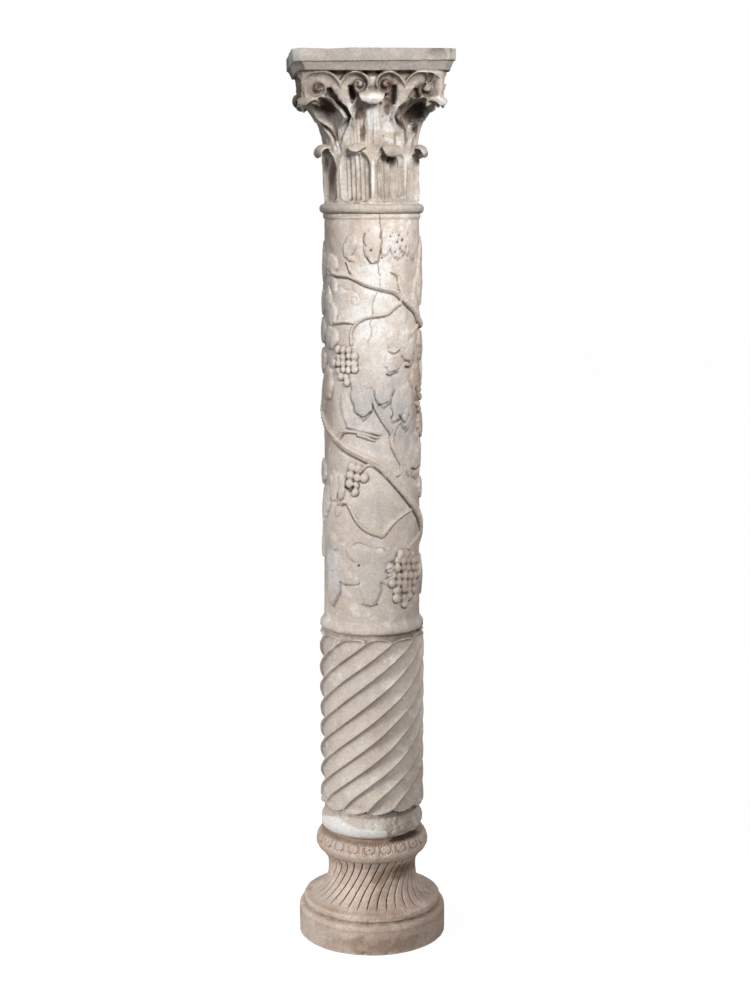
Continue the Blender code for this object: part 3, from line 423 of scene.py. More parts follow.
# Painted shade in each reed's deep cut
wall.dark = 0.34 * fade * bump((phase - REED_CUT) / 0.055) * (0.75 + 0.25 * wall.waves(0.02, 14))
for place in range(DISC_COUNT):
    middle = DISC_START + 360.0 * place / DISC_COUNT
    cells, across, up = wall.near(middle, DISC_HEIGHT, 1.9 * DISC_RADIUS)
    out = np.hypot(across, up * 1.12) / DISC_RADIUS
    bearing = np.arctan2(up, across)
    rim = bump((out - 1.0) / 0.17) * (up < 0.6 * DISC_RADIUS)
    wall.cut_to(cells, 0.0027 * rim)
    # Painted shade in the sides of the rim's cut
    wall.darken(cells, 0.38 * rim * (np.abs(across) > 0.35 * DISC_RADIUS))
    wall.cut_to(cells, 0.0024 * bump(out / 0.2) * (place % 3 != 1))
    # Painted shade in the drilled middle of every third disc
    wall.darken(cells, 0.75 * bump(out / 0.17) * (place % 3 == 0))
    wall.cut_to(cells, 0.0016 * bump((out - 0.52) / 0.2) * np.abs(np.cos(2.5 * bearing + place)) ** 4)
    between = middle + 180.0 / DISC_COUNT
    for rib in (-1.7, 1.7):
        cells, across, up = wall.near(between + rib, DISC_HEIGHT - 0.002, 0.014)
        cut = bump(across / 0.0011) * smooth((0.011 - np.abs(up)) / 0.004)
        wall.cut_to(cells, 0.0017 * cut)
        # Painted shade in the ribs' cuts
        wall.darken(cells, 0.25 * cut)
# A row of small teeth cut into the ring's top edge, five over each disc, with painted shade in them
teeth = np.cos(5 * DISC_COUNT * wall.turns + 2.0 * wall.waves(0.1, 5)[0]) < -0.1
wall.groove += 0.0026 * bump((wall.heights - 0.2398) / 0.0024)[:, None] * teeth[None, :]
wall.dark = np.maximum(wall.dark, 0.45 * bump((wall.heights - 0.2408) / 0.0016)[:, None] * teeth[None, :])
# Painted shade in the groove over the plinth's band, and a faint painted shade line below it
for height, width, painted_shade in ((0.069, 0.0018, 0.5), (0.0535, 0.0012, 0.22)):
    wall.dark = np.maximum(wall.dark, painted_shade * bump((wall.heights - height) / width)[:, None])
wall.groove += 0.0008 * np.abs(wall.waves(0.004, 6)) * smooth((wall.heights - 0.195) / 0.01)[:, None]
for row in (
    (0.0, 180.0, 0.004, 0.064, 160, 0.0016, 0.001, 7), (0.0, 180.0, 0.0, 0.003, 40, 0.005, 0.0024, 8),
    (0.0, 180.0, 0.063, 0.068, 40, 0.004, 0.0022, 9), (0.0, 180.0, 0.082, 0.087, 36, 0.0036, 0.0022, 10),
    (10.0, 20.0, 0.082, 0.087, 16, 0.0036, 0.003, 15),
    (0.0, 180.0, 0.196, 0.239, 130, 0.0016, 0.0014, 11),
):
    wall.pits(*row)
# A chip out of the foot, left of the middle
cells, across, up = wall.near(-6.0, 0.002, 0.02)
wall.cut_to(cells, 0.0035 * bump(np.hypot(across / 0.006, up / 0.005)))
wall.groove += 0.0005 * (1.0 + wall.waves(0.07, 12)) + 0.0003 * (1.0 + wall.waves(0.015, 13))
inner = smooth(wall.heights / 0.002) * smooth((BASE_HEAD - wall.heights) / 0.002)
radii += wall.relief - wall.groove * (0.35 + 0.65 * inner[:, None])
base = grid_object("base_stone", np.minimum(radii, BASE_REACH), wall.turns, wall.heights, BASE_TRIANGLES)
keep_between(base, 0.0, BASE_HEAD)

paint = Paint(base, 0.13)
# The painted shade laid on the wall goes into the hollow layer
paint.layers["hollow"] = wall.dark_at(paint.turns, paint.heights)
# Stains, and one hollow spot of painted shade on the right of the neck
paint.spots((
    ("brown", 14, 158, 34, 26, 0.9), ("brown", 34, 165, 30, 24, 0.8), ("brown", 62, 160, 34, 34, 0.75),
    ("hollow", 70, 168, 24, 24, 0.35), ("brown", 6, 22, 110, 26, 0.75),
    ("brown", 0, 247.5, 90, 11, 0.9, 0.4, 0.15), ("warm", 30, 30, 120, 30, 0.6),
    ("grey", -50, 36, 100, 35, 0.65), ("grey", -62, 100, 70, 30, 0.55), ("grey", -35, 225, 50, 20, 0.4),
    ("pale", -6, 4, 10, 6, 0.9), ("pale", -25, 135, 50, 28, 0.35), ("pale", 6, 74, 50, 8, 0.35),
    ("warm", 62, 222, 50, 22, 0.6), ("warm", -68, 92, 30, 14, 0.7), ("grey", 180, 120, 200, 100, 0.5),
))
# Painted shadow: the recess under the shaft is painted black on the right
recess = smooth((0.119 - paint.out) / 0.004) * smooth((paint.heights - 0.226) / 0.004)
right = smooth(1.0 + 0.3 * paint.break_up - np.abs(around(paint.turns, math.radians(50))) / 0.62)
paint.lay("hollow", 0.97 * recess * smooth(3.0 * right))
# The hollow spot here is painted shade on the right of the neck
paint.front_spots((("brown", 62, 163, 46, 22, 0.97), ("hollow", 78, 170, 26, 15, 0.4)))
paint.lay("brown", 0.8 * smooth((paint.heights - SEAT_EDGE) / 0.002))
paint.done()
base_marble = marble(
    "warm marble of the base", light=(0.47, 0.368, 0.3), shade=(0.392, 0.29, 0.228),
    pale=(0.54, 0.47, 0.412), brown=(0.225, 0.145, 0.096), grey=(0.37, 0.32, 0.285),
    dark=(0.085, 0.052, 0.035))
dressed(base, base_marble, "base")

# Shaft
# One long block of cream marble, turned and then carved round its whole height: twisted flutes below a
# collar, a grape vine above it. It stands on the base by its own weight and was mended at its foot.

SHAFT_FOOT = 0.2543
SHAFT_HEAD = 1.6457
SHAFT_TRIANGLES = 196000
SHAFT_OUTLINE = (
    (0.2543, 0.1125), (0.258, 0.1155), (0.262, 0.1175), (0.27, 0.1188), (0.28, 0.1175), (0.287, 0.1145),
    (0.292, 0.112), (0.296, 0.1102), (0.3, 0.1096), (0.3018, 0.1188), (0.7232, 0.1188),
    (0.724, 0.11), (0.7258, 0.11), (0.7265, 0.118), (0.7365, 0.118), (0.742, 0.114),
    (0.7505, 0.1089), (1.633, 0.1047), (1.6352, 0.105), (1.6362, 0.1076), (1.645, 0.1076),
    (1.6457, 0.1072),
)
# Flutes: the height of a whole turn, their ends, their crest's radius, the first one's place in degrees,
# and where across its width a flute is deepest
FLUTE_COUNT = 12
FLUTE_LEAD = 0.58
FLUTE_FOOT = 0.3118
FLUTE_HEAD = 0.7143
FLUTE_RADIUS = 0.1188
FLUTE_DEPTH = 0.009
FLUTE_START = 1.7
FLUTE_DEEPEST = 0.42
FLUTE_FILLET = 0.1
FLUTED_FOOT = 0.3
FLUTED_HEAD = 0.724
VINE_FOOT = 0.7505
VINE_HEIGHT = 0.8852
VINE_HEAD = 1.6335

# Stems and branches of the vine: degrees round, and per cent up the carved band
MAIN_STEM = (
    (83, 24.5), (63, 28.5), (48, 31.5), (33, 34.8), (22, 37.3), (11, 39.5), (1, 40.9), (-13, 42.3),
    (-28, 43.7), (-45, 45.7), (-56, 47.3), (-70, 49.2), (-95, 53.5), (-130, 60), (-165, 66.5), (-200, 71),
    (-235, 72.5), (-262, 73.5), (-282, 74.7), (-295, 77.5), (-308, 79.2), (-321, 81),
)
UPPER_STEM = (
    (39, 81), (29, 82.4), (18, 83), (9, 83.4), (-7, 84.3), (-18, 85.4), (-30, 86.3), (-49, 86.6),
    (-65, 88.5),
)
LOW_STEM = ((83, 24.5), (105, 19), (135, 13), (170, 8.5), (200, 7))
BRANCHES = (
    ((36, 79.8), (25, 78.3), (17, 77.1), (2, 76.6), (-7, 76.2), (-17, 75.2), (-23, 73.8), (-26, 72.1),
     (-25, 69.8)),
    ((-5, 60), (0, 57.5), (5, 54.3), (15, 50.6), (24, 47.8), (25, 45), (32, 42), (38, 39.8), (36, 37.8),
     (29, 37.1)),
    ((39, 81.2), (35, 84.3), (33, 86.3), (24, 87.4)),
    ((58, 79.9), (61, 83.4), (67, 86.1)),
    ((69, 73.7), (52, 71.8), (47, 70.5)),
    ((25, 47.6), (29, 49.3), (36, 50.8)),
    ((-43, 46.7), (-36, 48.1), (-22, 48.3), (-8, 47.8), (6, 46.9)),
    ((-28, 49.6), (-16, 48.8), (-4, 48.4), (9, 47.7)),
    ((-16, 47.7), (-6, 46.9), (2, 46.2)),
    ((-41, 30), (-32, 30.6), (-26, 29.2), (-18, 26.2), (-9, 24.2), (0, 23.1), (8, 22.5), (12, 22.2),
     (17, 23.2), (26, 25.3), (39, 27.1), (54, 28.2)),
    ((18, 37.4), (9, 39.4), (0, 40.1), (-6, 40), (-11, 39)),
    ((78, 21.1), (58, 19.6), (50, 18.3)),
    ((-21, 86.1), (-26, 87.7), (-30, 89.7)),
    ((-49, 74.9), (-33, 75.2), (-24, 74.9)),
    ((120, 16), (128, 24), (140, 31)),
    ((-118, 57.5), (-128, 49), (-142, 42)),
    ((-190, 70), (-182, 62), (-170, 56)),
    ((-205, 71.3), (-212, 80), (-204, 87)),
)
# Lobes of the leaves: degrees round, per cent up and heading from straight up, then length, width and
# height in millimetres
LOBES = (
    (-27, 93.4, 200, 55, 30, 5.5), (-25, 90.4, 110, 22, 12, 4), (0, 93.5, 180, 77, 40, 6.5),
    (17, 94.9, 190, 70, 28, 5), (28, 94.9, 170, 83, 35, 6), (39, 95.4, 160, 79, 38, 6),
    (54, 94.8, 170, 88, 37, 5), (-57, 88.8, 190, 48, 50, 6), (-50, 84, 170, 40, 21, 5),
    (-62, 80.5, 10, 60, 30, 6), (-55, 77.1, 170, 52, 36, 6.5), (-57, 71, 190, 53, 50, 6.5),
    (45, 69, 160, 70, 56, 8), (26, 70.6, 190, 44, 30, 5.5), (27, 65.9, 200, 56, 45, 7),
    (14, 58.4, 185, 72, 44, 6.5), (32, 54.8, 190, 76, 37, 7), (47, 54.3, 180, 104, 50, 8),
    (-11, 56.5, 170, 89, 50, 8), (-30, 53.4, 165, 85, 31, 4.5), (66, 60, 180, 80, 50, 7),
    (66, 41.7, 180, 104, 59, 8), (52, 40.3, 190, 63, 33, 6.5), (-51, 34.3, 180, 70, 34, 6),
    (-38, 34.3, 185, 62, 22, 5.5), (-1, 14.4, 180, 90, 77, 4), (-2, 9.6, 183, 94, 50, 5),
    (-17, 12.8, 225, 76, 44, 5), (-17, 17.4, 290, 58, 38, 5), (15, 16.8, 70, 59, 40, 4.5),
    (15, 12.6, 130, 62, 42, 4.5), (-53, 9.5, 185, 104, 50, 8), (-36, 12.4, 140, 62, 40, 7),
    (-56, 15.4, 0, 50, 50, 6.5), (-53, 20.2, 150, 45, 30, 5), (-43, 28.2, 210, 31, 18, 4),
    (-66, 60, 10, 80, 50, 7), (-70, 30, 200, 80, 45, 6.5), (92, 91, 10, 90, 60, 6),
    (104, 62, 190, 90, 60, 7), (122, 60, 150, 70, 50, 7), (92, 10, 170, 100, 50, 6.5),
    (142, 40, 10, 100, 50, 7), (128, 36, 320, 70, 50, 7), (156, 36, 60, 70, 50, 7),
    (-142, 34, 190, 100, 55, 7), (-156, 38, 250, 70, 45, 7), (-128, 38, 120, 70, 45, 7),
    (-168, 50, 180, 90, 60, 7), (-202, 92, 0, 90, 70, 7), (-120, 78, 20, 90, 70, 7),
    (-104, 82, 60, 60, 45, 6), (168, 20, 200, 90, 70, 7), (-105, 22, 170, 100, 50, 7),
    (-92, 18, 130, 70, 45, 6.5), (-100, 90, 0, 80, 60, 6), (-84, 88, 180, 70, 60, 5.5),
    (-86, 79.5, 175, 60, 60, 7), (-82, 72.5, 185, 60, 60, 8), (-86, 65, 180, 60, 60, 7.5),
    (-82, 56, 185, 80, 50, 6.5), (-84, 37, 180, 60, 60, 6.5), (84, 85, 180, 110, 60, 7),
    (84, 69, 175, 70, 50, 7), (84, 49, 180, 60, 60, 7.5), (-84, 27, 175, 60, 50, 6),
    (84, 33, 185, 50, 50, 6),
)
# Grape bunches: degrees round, per cent up, heading, then length, width and a grape's radius in metres
BUNCHES = (
    (-33.5, 64.2, 178, 0.086, 0.064, 0.0074), (-20, 36.2, 190, 0.068, 0.05, 0.0084),
    (44, 10.8, 186, 0.128, 0.104, 0.0088), (73, 57, 180, 0.08, 0.03, 0.007),
    (118, 50, 180, 0.09, 0.056, 0.0074), (-150, 20, 180, 0.094, 0.06, 0.0074),
    (160, 82, 180, 0.09, 0.056, 0.0074),
)


def curve_through(points, steps=6):
    """A smooth line through the points, with so many steps between each two."""
    points = np.array(points, float)
    ends = np.vstack([2 * points[0] - points[1], points, 2 * points[-1] - points[-2]])
    share = np.linspace(0.0, 1.0, steps, endpoint=False)[:, None]
    spans = []
    for before, start, end, after in zip(ends, ends[1:], ends[2:], ends[3:]):
        spans.append(0.5 * (2 * start + (end - before) * share
                            + (2 * before - 5 * start + 4 * end - after) * share**2
                            + (3 * start - before - 3 * end + after) * share**3))
    return np.vstack(spans + [points[-1:]])


def up_vine(share):
    """The height of a place given in per cent of the carved band."""
    return VINE_FOOT + 0.01 * share * VINE_HEIGHT


def on_vine(route):
    return [(turn, up_vine(share)) for turn, share in route]


def along_route(wall, route, reach):
    """For each short step of a route: the cells near it, how far they lie from it, and how far below it."""
    line = curve_through(route)
    for index in range(len(line) - 1):
        (turn, height), (next_turn, next_height) = line[index], line[index + 1]
        step = (math.radians(next_turn - turn) * wall.radius, next_height - height)
        length = max(math.hypot(*step), 1e-6)
        cells, across, up = wall.near(turn, height, length + reach)
        share = np.clip((across * step[0] + up * step[1]) / length**2, 0.0, 1.0)
        off_across, off_up = across - share * step[0], up - share * step[1]
        yield cells, np.hypot(off_across, off_up), -off_up, index / max(1, len(line) - 2)


def carve_stem(wall, route, start_radius, end_radius, relief, undercut):
    """A round stem, thinner towards its end, with a cut under its lower edge and a painted shadow along it.
    """
    for cells, away, below, share in along_route(wall, route, 3.2 * start_radius):
        radius = start_radius + (end_radius - start_radius) * share
        lift = relief * min(1.0, radius / start_radius + 0.2)
        wall.raise_to(cells, lift * half_round(away / (1.15 * radius)) ** 0.8)
        under = bump((away - 1.4 * radius) / (0.36 * radius)) * (below > 0.3 * away)
        wall.cut_to(cells, undercut * under)
        # Painted shadow under the stem's lower edge
        shadow = bump((away - 1.24 * radius) / (0.26 * radius)) * (below > 0.35 * away)
        wall.darken(cells, min(0.85, 260.0 * undercut) * shadow)


def cut_line(wall, route, radius, depth):
    for cells, away, _, _ in along_route(wall, route, 2.6 * radius):
        wall.cut_to(cells, depth * bump(away / radius))


def carve_lobe(wall, turn, height, heading, length, width, relief):
    """One swelling lobe of a leaf, narrower at its tip, with a groove down its middle and side veins."""
    cells, across, up = wall.near(turn, height, 0.62 * max(length, width))
    angle = math.radians(heading)
    along = across * math.sin(angle) + up * math.cos(angle)
    beside = across * math.cos(angle) - up * math.sin(angle)
    tip = along / (0.5 * length)
    bend = 0.1 * width * math.sin(heading + turn)
    side = (beside - bend * tip * tip) / (0.5 * width * (1.0 - 0.16 * np.clip(tip, -1.0, 1.0)))
    out = np.hypot(tip, side)
    bearing = np.arctan2(side, tip)
    edge = 1.0 + 0.045 * np.sin(7.0 * bearing + turn) + 0.03 * np.sin(13.0 * bearing + 2.0 * heading)
    out = out / edge
    body = 0.3 + 0.7 * half_round(out * 0.97)
    vein = 0.14 * bump(beside / 0.0018) * smooth((0.9 - np.abs(tip)) / 0.3)
    rank = ((along - 0.8 * np.abs(beside)) / 0.012) % 1.0
    side_vein = 0.07 * bump((rank - 0.5) / 0.13) * smooth((0.85 - out) / 0.25)
    side_vein *= smooth(np.abs(beside) / 0.004)
    wall.raise_to(cells, relief * (body - vein - side_vein) * smooth((1.0 - out) / 0.1))
    # The lower right edge lies in the shade of the lobe: it is cut deeper there and painted dark as painted
    # shade
    shade = smooth((0.5 * across - 0.85 * up) / np.maximum(np.hypot(across, up), 1e-6) - 0.1)
    strength = np.clip((relief - 0.0035) / 0.0045, 0.0, 1.0)
    wall.cut_to(cells, 0.0026 * strength * bump((out - 1.06) / 0.06) * (0.15 + 0.85 * shade))
    wall.darken(cells, 0.55 * strength * bump((out - 1.05) / 0.045) * shade)


def carve_bunch(wall, turn, height, heading, length, width, berry):
    """Grapes in close rows, widest near the stalk and fewer towards the tip."""
    angle = math.radians(heading)
    draws = np.random.default_rng(int(1000 + turn))
    row_step = 1.72 * berry
    rows = max(2, int(length / row_step))
    for row in range(rows):
        share = (row + 0.5) / rows
        row_width = width * np.interp(share, (0.0, 0.3, 0.45, 1.0), (0.4, 0.9, 1.0, 0.1))
        count = max(1, round(row_width / (1.85 * berry)))
        for place in range(count):
            beside = (place - 0.5 * (count - 1) + 0.25 * (-1) ** row) * 1.85 * berry
            beside += 0.22 * berry * draws.uniform(-1, 1)
            along = (share - 0.5) * length + 0.3 * berry * draws.uniform(-1, 1)
            round_it = along * math.sin(angle) + beside * math.cos(angle)
            berry_turn = turn + math.degrees(round_it / wall.radius)
            berry_height = height + along * math.cos(angle) - beside * math.sin(angle)
            size = berry * draws.uniform(0.9, 1.16)
            cells, across, up = wall.near(berry_turn, berry_height, 1.5 * size)
            away = np.hypot(across, up / 1.15) / size
            wall.raise_to(cells, 0.0018 * (away < 1.0) + 0.8 * size * half_round(away))
            wall.cut_to(cells, 0.0016 * bump((away - 1.1) / 0.12))
            # Painted shade under each grape's lower right edge
            wall.darken(cells, 0.9 * bump((away - 1.08) / 0.13) * smooth(0.5 + (0.5 * across - up) / size))


def flutes(turns, heights):
    """Depth below the crest of twisted flutes with round ends, and the painted shade under each crest and
    past each end.
    """
    slope = math.atan2(FLUTE_LEAD, 2.0 * math.pi * FLUTE_RADIUS)
    half_width = 0.5 * FLUTE_LEAD / FLUTE_COUNT * math.cos(slope)
    each = 2.0 * math.pi / FLUTE_COUNT
    foot_turn = turns - math.radians(FLUTE_START) - 2.0 * math.pi * (heights - FLUTE_FOOT) / FLUTE_LEAD
    off = ((foot_turn + 0.5 * each) % each - 0.5 * each) * FLUTE_RADIUS * math.sin(slope) / half_width
    run = (heights - FLUTE_FOOT) / math.sin(slope)
    full_run = (FLUTE_HEAD - FLUTE_FOOT) / math.sin(slope)
    past_end = np.maximum(half_width - run, run - (full_run - half_width)) / half_width
    away = np.hypot(off, np.maximum(past_end, 0.0))
    # A flute is deepest near its upper edge, so that the crest above it casts a shadow
    open_share = 1.0 - FLUTE_FILLET
    toward_upper = -off / open_share
    upper = np.clip((toward_upper - FLUTE_DEEPEST) / (1.0 - FLUTE_DEEPEST), 0.0, 1.0)
    lower = np.clip((FLUTE_DEEPEST - toward_upper) / (1.0 + FLUTE_DEEPEST), 0.0, 1.0)
    ends = np.clip(past_end / open_share, 0.0, 1.0)
    trough = half_round(np.hypot(np.maximum(upper, lower), ends)) ** 0.9
    outside = smooth((away - 1.0) / FLUTE_FILLET)
    crest = 0.1 * half_round((away - 0.955) / 0.075)
    # Painted shade under each crest and in the recess past each end
    painted_shade = bump((toward_upper - 0.97) / 0.1) * (past_end < 0.0)
    painted_shade += 1.1 * smooth((away - 1.04) / 0.06) * (past_end > 0.0)
    return FLUTE_DEPTH * (np.where(away < 1.0, trough, outside) - crest), painted_shade


wall = Wall(SHAFT_FOOT, SHAFT_HEAD, 0.0015, 540, 0.109)
level = wall.heights[:, None]
radii = wall.turned(SHAFT_OUTLINE)
slow = wall.waves(0.09, 21)
in_flutes = smooth((level - FLUTED_FOOT) / 0.0018) * smooth((FLUTED_HEAD - level) / 0.0012)
low_shift = math.radians(5.0) * smooth((0.35 - level) / 0.045)
depth, painted_shade = flutes(wall.turns[None, :] + 0.03 * slow - low_shift, level + 0.0025 * wall.waves(0.07, 22))
radii -= in_flutes * depth * (1.0 + 0.1 * wall.waves(0.05, 37))
# Painted shade in the flutes, darker towards the right, away from the light
to_right = smooth((np.degrees(around(wall.turns, 0.0)) + 20.0) / 75.0)[None, :]
wall.dark = in_flutes * painted_shade * (0.22 + 0.62 * to_right) * (0.8 + 0.3 * wall.waves(0.02, 38))
for turn, share, heading, length, width, high in LOBES:
    carve_lobe(wall, turn, up_vine(share), heading, 0.001 * length, 0.001 * width, 0.001 * high)
for turn, share, *sizes in BUNCHES:
    carve_bunch(wall, turn, up_vine(share), *sizes)
for route in BRANCHES:
    carve_stem(wall, on_vine(route), 0.0044, 0.0028, 0.0056, 0.0024)
for route, *sizes in (
        (MAIN_STEM, 0.0074, 0.0066, 0.0094, 0.0034), (UPPER_STEM, 0.0054, 0.0038, 0.0066, 0.0032),
        (LOW_STEM, 0.0074, 0.0086, 0.0094, 0.0034)):
    carve_stem(wall, on_vine(route), *sizes)
vine_rows = smooth((level - VINE_FOOT) / 0.006) * smooth((VINE_HEAD - level) / 0.005)
wall.relief *= vine_rows * (1.0 + 0.12 * wall.waves(0.03, 23))
# Painted shade is cleared off the raised carving, and on the vine painted darker towards the right, away
# from the light
wall.dark *= (1.0 - smooth(wall.relief / 0.0035) * vine_rows) * (1.0 + vine_rows * (0.35 * to_right - 0.1))

# The crack, the curl, the sharp dark cuts and the drilled holes
CRACK = (
    (9, 1.645), (9, 1.637), (10, 1.623), (11, 1.587), (10, 1.557), (7, 1.544), (9, 1.521), (10, 1.498),
    (4, 1.47), (1, 1.455), (1, 1.432), (-2, 1.414), (0, 1.389), (-5, 1.372),
)
ragged = np.random.default_rng(24)
crack = [(turn + 0.8 * ragged.uniform(-1, 1), height) for turn, height in curve_through(CRACK, 4)]
cut_line(wall, crack, 0.0011, 0.0022)
CURL_TURN = -21
CURL_HEIGHT = 1.461
curl = [(CURL_TURN + math.degrees(size / wall.radius) * math.cos(bearing),
         CURL_HEIGHT + size * math.sin(bearing))
        for size, bearing in zip(np.linspace(0.005, 0.0145, 22), np.linspace(-0.5, 7.2, 22))]
cut_line(wall, curl, 0.0013, 0.0016)
cut_line(wall, ((-17, 1.474), (-24, 1.484), (-33, 1.483), (-38, 1.492)), 0.0013, 0.0015)
# Deep cuts, painted dark as painted shade: a route of degrees and heights, then half width and depth in
# metres
DARK_CUTS = (
    (((-9, 1.604), (-10, 1.589), (-7, 1.577)), 0.002, 0.003),
    (((-6, 1.553), (-1, 1.541), (5, 1.541), (9, 1.546)), 0.0015, 0.0035),
    (((45, 1.317), (53, 1.315), (60, 1.326)), 0.0024, 0.0075),
    (((20, 1.352), (26, 1.347), (33, 1.353)), 0.002, 0.0045),
    (((18, 1.303), (22, 1.3), (27, 1.304), (33, 1.307)), 0.0019, 0.005),
    (((8, 1.236), (14, 1.239), (20, 1.243)), 0.0017, 0.004),
    (((23, 1.23), (25, 1.217), (24, 1.206)), 0.0017, 0.004),
    (((33, 1.213), (41, 1.195), (47, 1.212)), 0.0018, 0.0045),
    (((-17, 1.216), (-9, 1.21), (-1, 1.222)), 0.0018, 0.0045),
    (((62, 1.268), (66, 1.255), (70, 1.24)), 0.0035, 0.008),
    (((53, 1.093), (60, 1.088), (68, 1.092)), 0.0022, 0.006),
    (((-32, 1.055), (-26, 1.045), (-21, 1.058)), 0.0028, 0.006),
)
# Fainter cuts, not painted dark
LIGHT_CUTS = (
    (((-27, 0.918), (-19, 0.93), (-10, 0.929), (2, 0.92), (12, 0.921), (18, 0.914)), 0.0015, 0.003),
    (((-11, 0.794), (-2, 0.788), (6, 0.794)), 0.002, 0.0045),
    (((22, 0.875), (16, 0.868), (24, 0.86), (17, 0.852)), 0.0018, 0.0045),
    (((1, 1.643), (-30, 1.64), (-48, 1.636), (-66, 1.622)), 0.0014, 0.0016),
    (((60, 1.56), (66, 1.548)), 0.0017, 0.0035), (((57, 1.556), (63, 1.543)), 0.0015, 0.003),
)
for route, width, depth in DARK_CUTS + LIGHT_CUTS:
    cut_line(wall, route, width, depth)
# Drilled holes: degrees round, height, then radius and depth in millimetres
HOLES = (
    (-1, 1.569, 2.2, 6), (31, 1.586, 2.6, 7), (38, 1.59, 3.0, 7), (35, 1.572, 2.4, 6),
    (41, 1.556, 2.4, 6), (37, 1.339, 2.4, 6), (53, 1.231, 2.4, 6), (-15, 0.882, 2.2, 6),
    (12, 1.553, 1.8, 4), (28, 1.565, 2.0, 5), (47, 1.604, 2.0, 4), (22, 1.598, 1.8, 4),
    (44, 1.575, 2.4, 5), (33, 1.6, 1.8, 5),
)
for turn, height, size, depth in HOLES:
    cells, across, up = wall.near(turn, height, 0.012)
    wall.cut_to(cells, 0.001 * depth * bump(np.hypot(across, 0.8 * up) / (0.001 * size)))
for row in (
    (34.0, 18.0, 1.54, 1.625, 70, 0.0022, 0.0024, 25),
    (38.0, 40.0, 0.258, 0.3, 120, 0.0022, 0.0028, 26),
    (-20.0, 60.0, 0.3, 0.33, 90, 0.0018, 0.002, 27),
    (0.0, 180.0, 0.3, 1.64, 500, 0.0016, 0.001, 28),
    (20.0, 70.0, 0.255, 0.262, 40, 0.004, 0.004, 29),
    (0.0, 180.0, 0.715, 0.726, 40, 0.0034, 0.0022, 30),
):
    wall.pits(*row)


def mended(turns, heights, edge):
    """1 inside the mend at the shaft's foot, which has a wavy upper edge."""
    bearing = np.degrees(around(turns, 0.0))
    line = np.interp(bearing, (-75, -44, -13, 17, 18), (0.283, 0.296, 0.278, 0.273, 0.25))
    return smooth((line - heights) / edge) * (np.abs(bearing) < 75.0)


# The mend is smooth, and the stone right of it rough
in_mend = mended(wall.turns[None, :], level, 0.0015)
wall.groove *= 1.0 - in_mend
wall.relief += 0.0006 * in_mend
broken = smooth((0.303 - level) / 0.004) * (1.0 - in_mend)
wall.groove += broken * (0.001 * (1.0 + wall.waves(0.008, 31)) + 0.0006 * (1.0 + wall.waves(0.003, 32)))
worn = 0.0006 * (1.0 + wall.waves(0.06, 33)) + 0.0004 * (1.0 + wall.waves(0.014, 34))
worn += 0.00018 * (1.0 + wall.waves(0.005, 35))
wall.groove += worn * (1.0 - 0.7 * in_mend)
radii += wall.relief - wall.groove
shaft = grid_object("shaft_stone", radii, wall.turns, wall.heights, SHAFT_TRIANGLES)
keep_between(shaft, SHAFT_FOOT, SHAFT_HEAD)

paint = Paint(shaft, 0.112)
# Painted shade: from the wall, along the crack, in the deep cuts and in the drilled holes
paint.layers["hollow"] = wall.dark_at(paint.turns, paint.heights)
paint.line("hollow", crack[:len(crack) // 2], 0.0011, 0.75)
paint.line("hollow", crack[len(crack) // 2:], 0.001, 0.35)
for route, width, depth in DARK_CUTS:
    paint.line("hollow", route, 0.95 * width, min(0.95, 150.0 * depth))
paint.spots([("hollow", turn, 1000.0 * height, 1.1 * size, 1.4 * size, 0.95, 0.5, 0.2)
             for turn, height, size, depth in HOLES])
# Stains. Painted shade among them: the grey and brown down the left edge near -70 degrees, the hollow strip
# near 76 degrees and the broad brown down the right near 58 degrees. The broad grey band near 1.2 m and the
# broad warm patches low down make the stone darker there.
paint.spots((
    ("brown", 56, 1555, 22, 85, 0.45), ("brown", -46, 1600, 30, 40, 0.45),
    ("brown", -40, 1545, 16, 20, 0.55), ("pale", 4, 1500, 50, 60, 0.75), ("pale", -6, 1420, 60, 70, 0.75),
    ("pale", 24, 1580, 30, 50, 0.6), ("pale", 8, 1340, 40, 60, 0.45), ("grey", -70, 1300, 60, 400, 0.85),
    ("brown", -66, 1230, 34, 160, 0.75), ("brown", -62, 1600, 30, 50, 0.6),
    ("grey", 10, 1225, 160, 125, 0.85, 0.9), ("warm", -35, 980, 40, 60, 0.6),
    ("pale", -52, 860, 30, 60, 0.7), ("warm", -4, 925, 60, 14, 0.7), ("warm", 0, 732, 200, 7, 0.6),
    ("brown", -1, 430, 30, 35, 0.45, 0.9, 0.9), ("brown", 8, 550, 30, 50, 0.35, 0.9, 0.9),
    ("brown", 70, 1390, 28, 60, 0.6), ("hollow", 76, 1270, 20, 120, 0.3),
    ("grey", 5, 1010, 50, 50, 0.5), ("brown", 12, 500, 30, 180, 0.35), ("grey", -10, 600, 50, 60, 0.45),
    ("brown", 62, 1270, 32, 150, 0.75), ("grey", 50, 1200, 40, 120, 0.8),
    ("brown", 66, 920, 30, 90, 0.6), ("brown", 68, 1020, 24, 40, 0.55),
    ("brown", 48, 1500, 16, 70, 0.45), ("grey", 0, 870, 60, 85, 0.6), ("grey", -52, 870, 50, 95, 0.65),
    ("brown", 50, 860, 50, 75, 0.5), ("brown", 62, 620, 50, 90, 0.35), ("brown", 10, 330, 100, 24, 0.4),
    ("brown", 40, 275, 60, 30, 0.65), ("warm", 0, 520, 150, 200, 0.45),
    ("grey", 180, 900, 160, 600, 0.45), ("brown", 58, 800, 60, 560, 0.3, 0.9),
    ("warm", 20, 900, 110, 340, 0.4, 0.9),
))
paint.front_spots((("brown", 74, 289, 34, 24, 0.7, 0.7),))
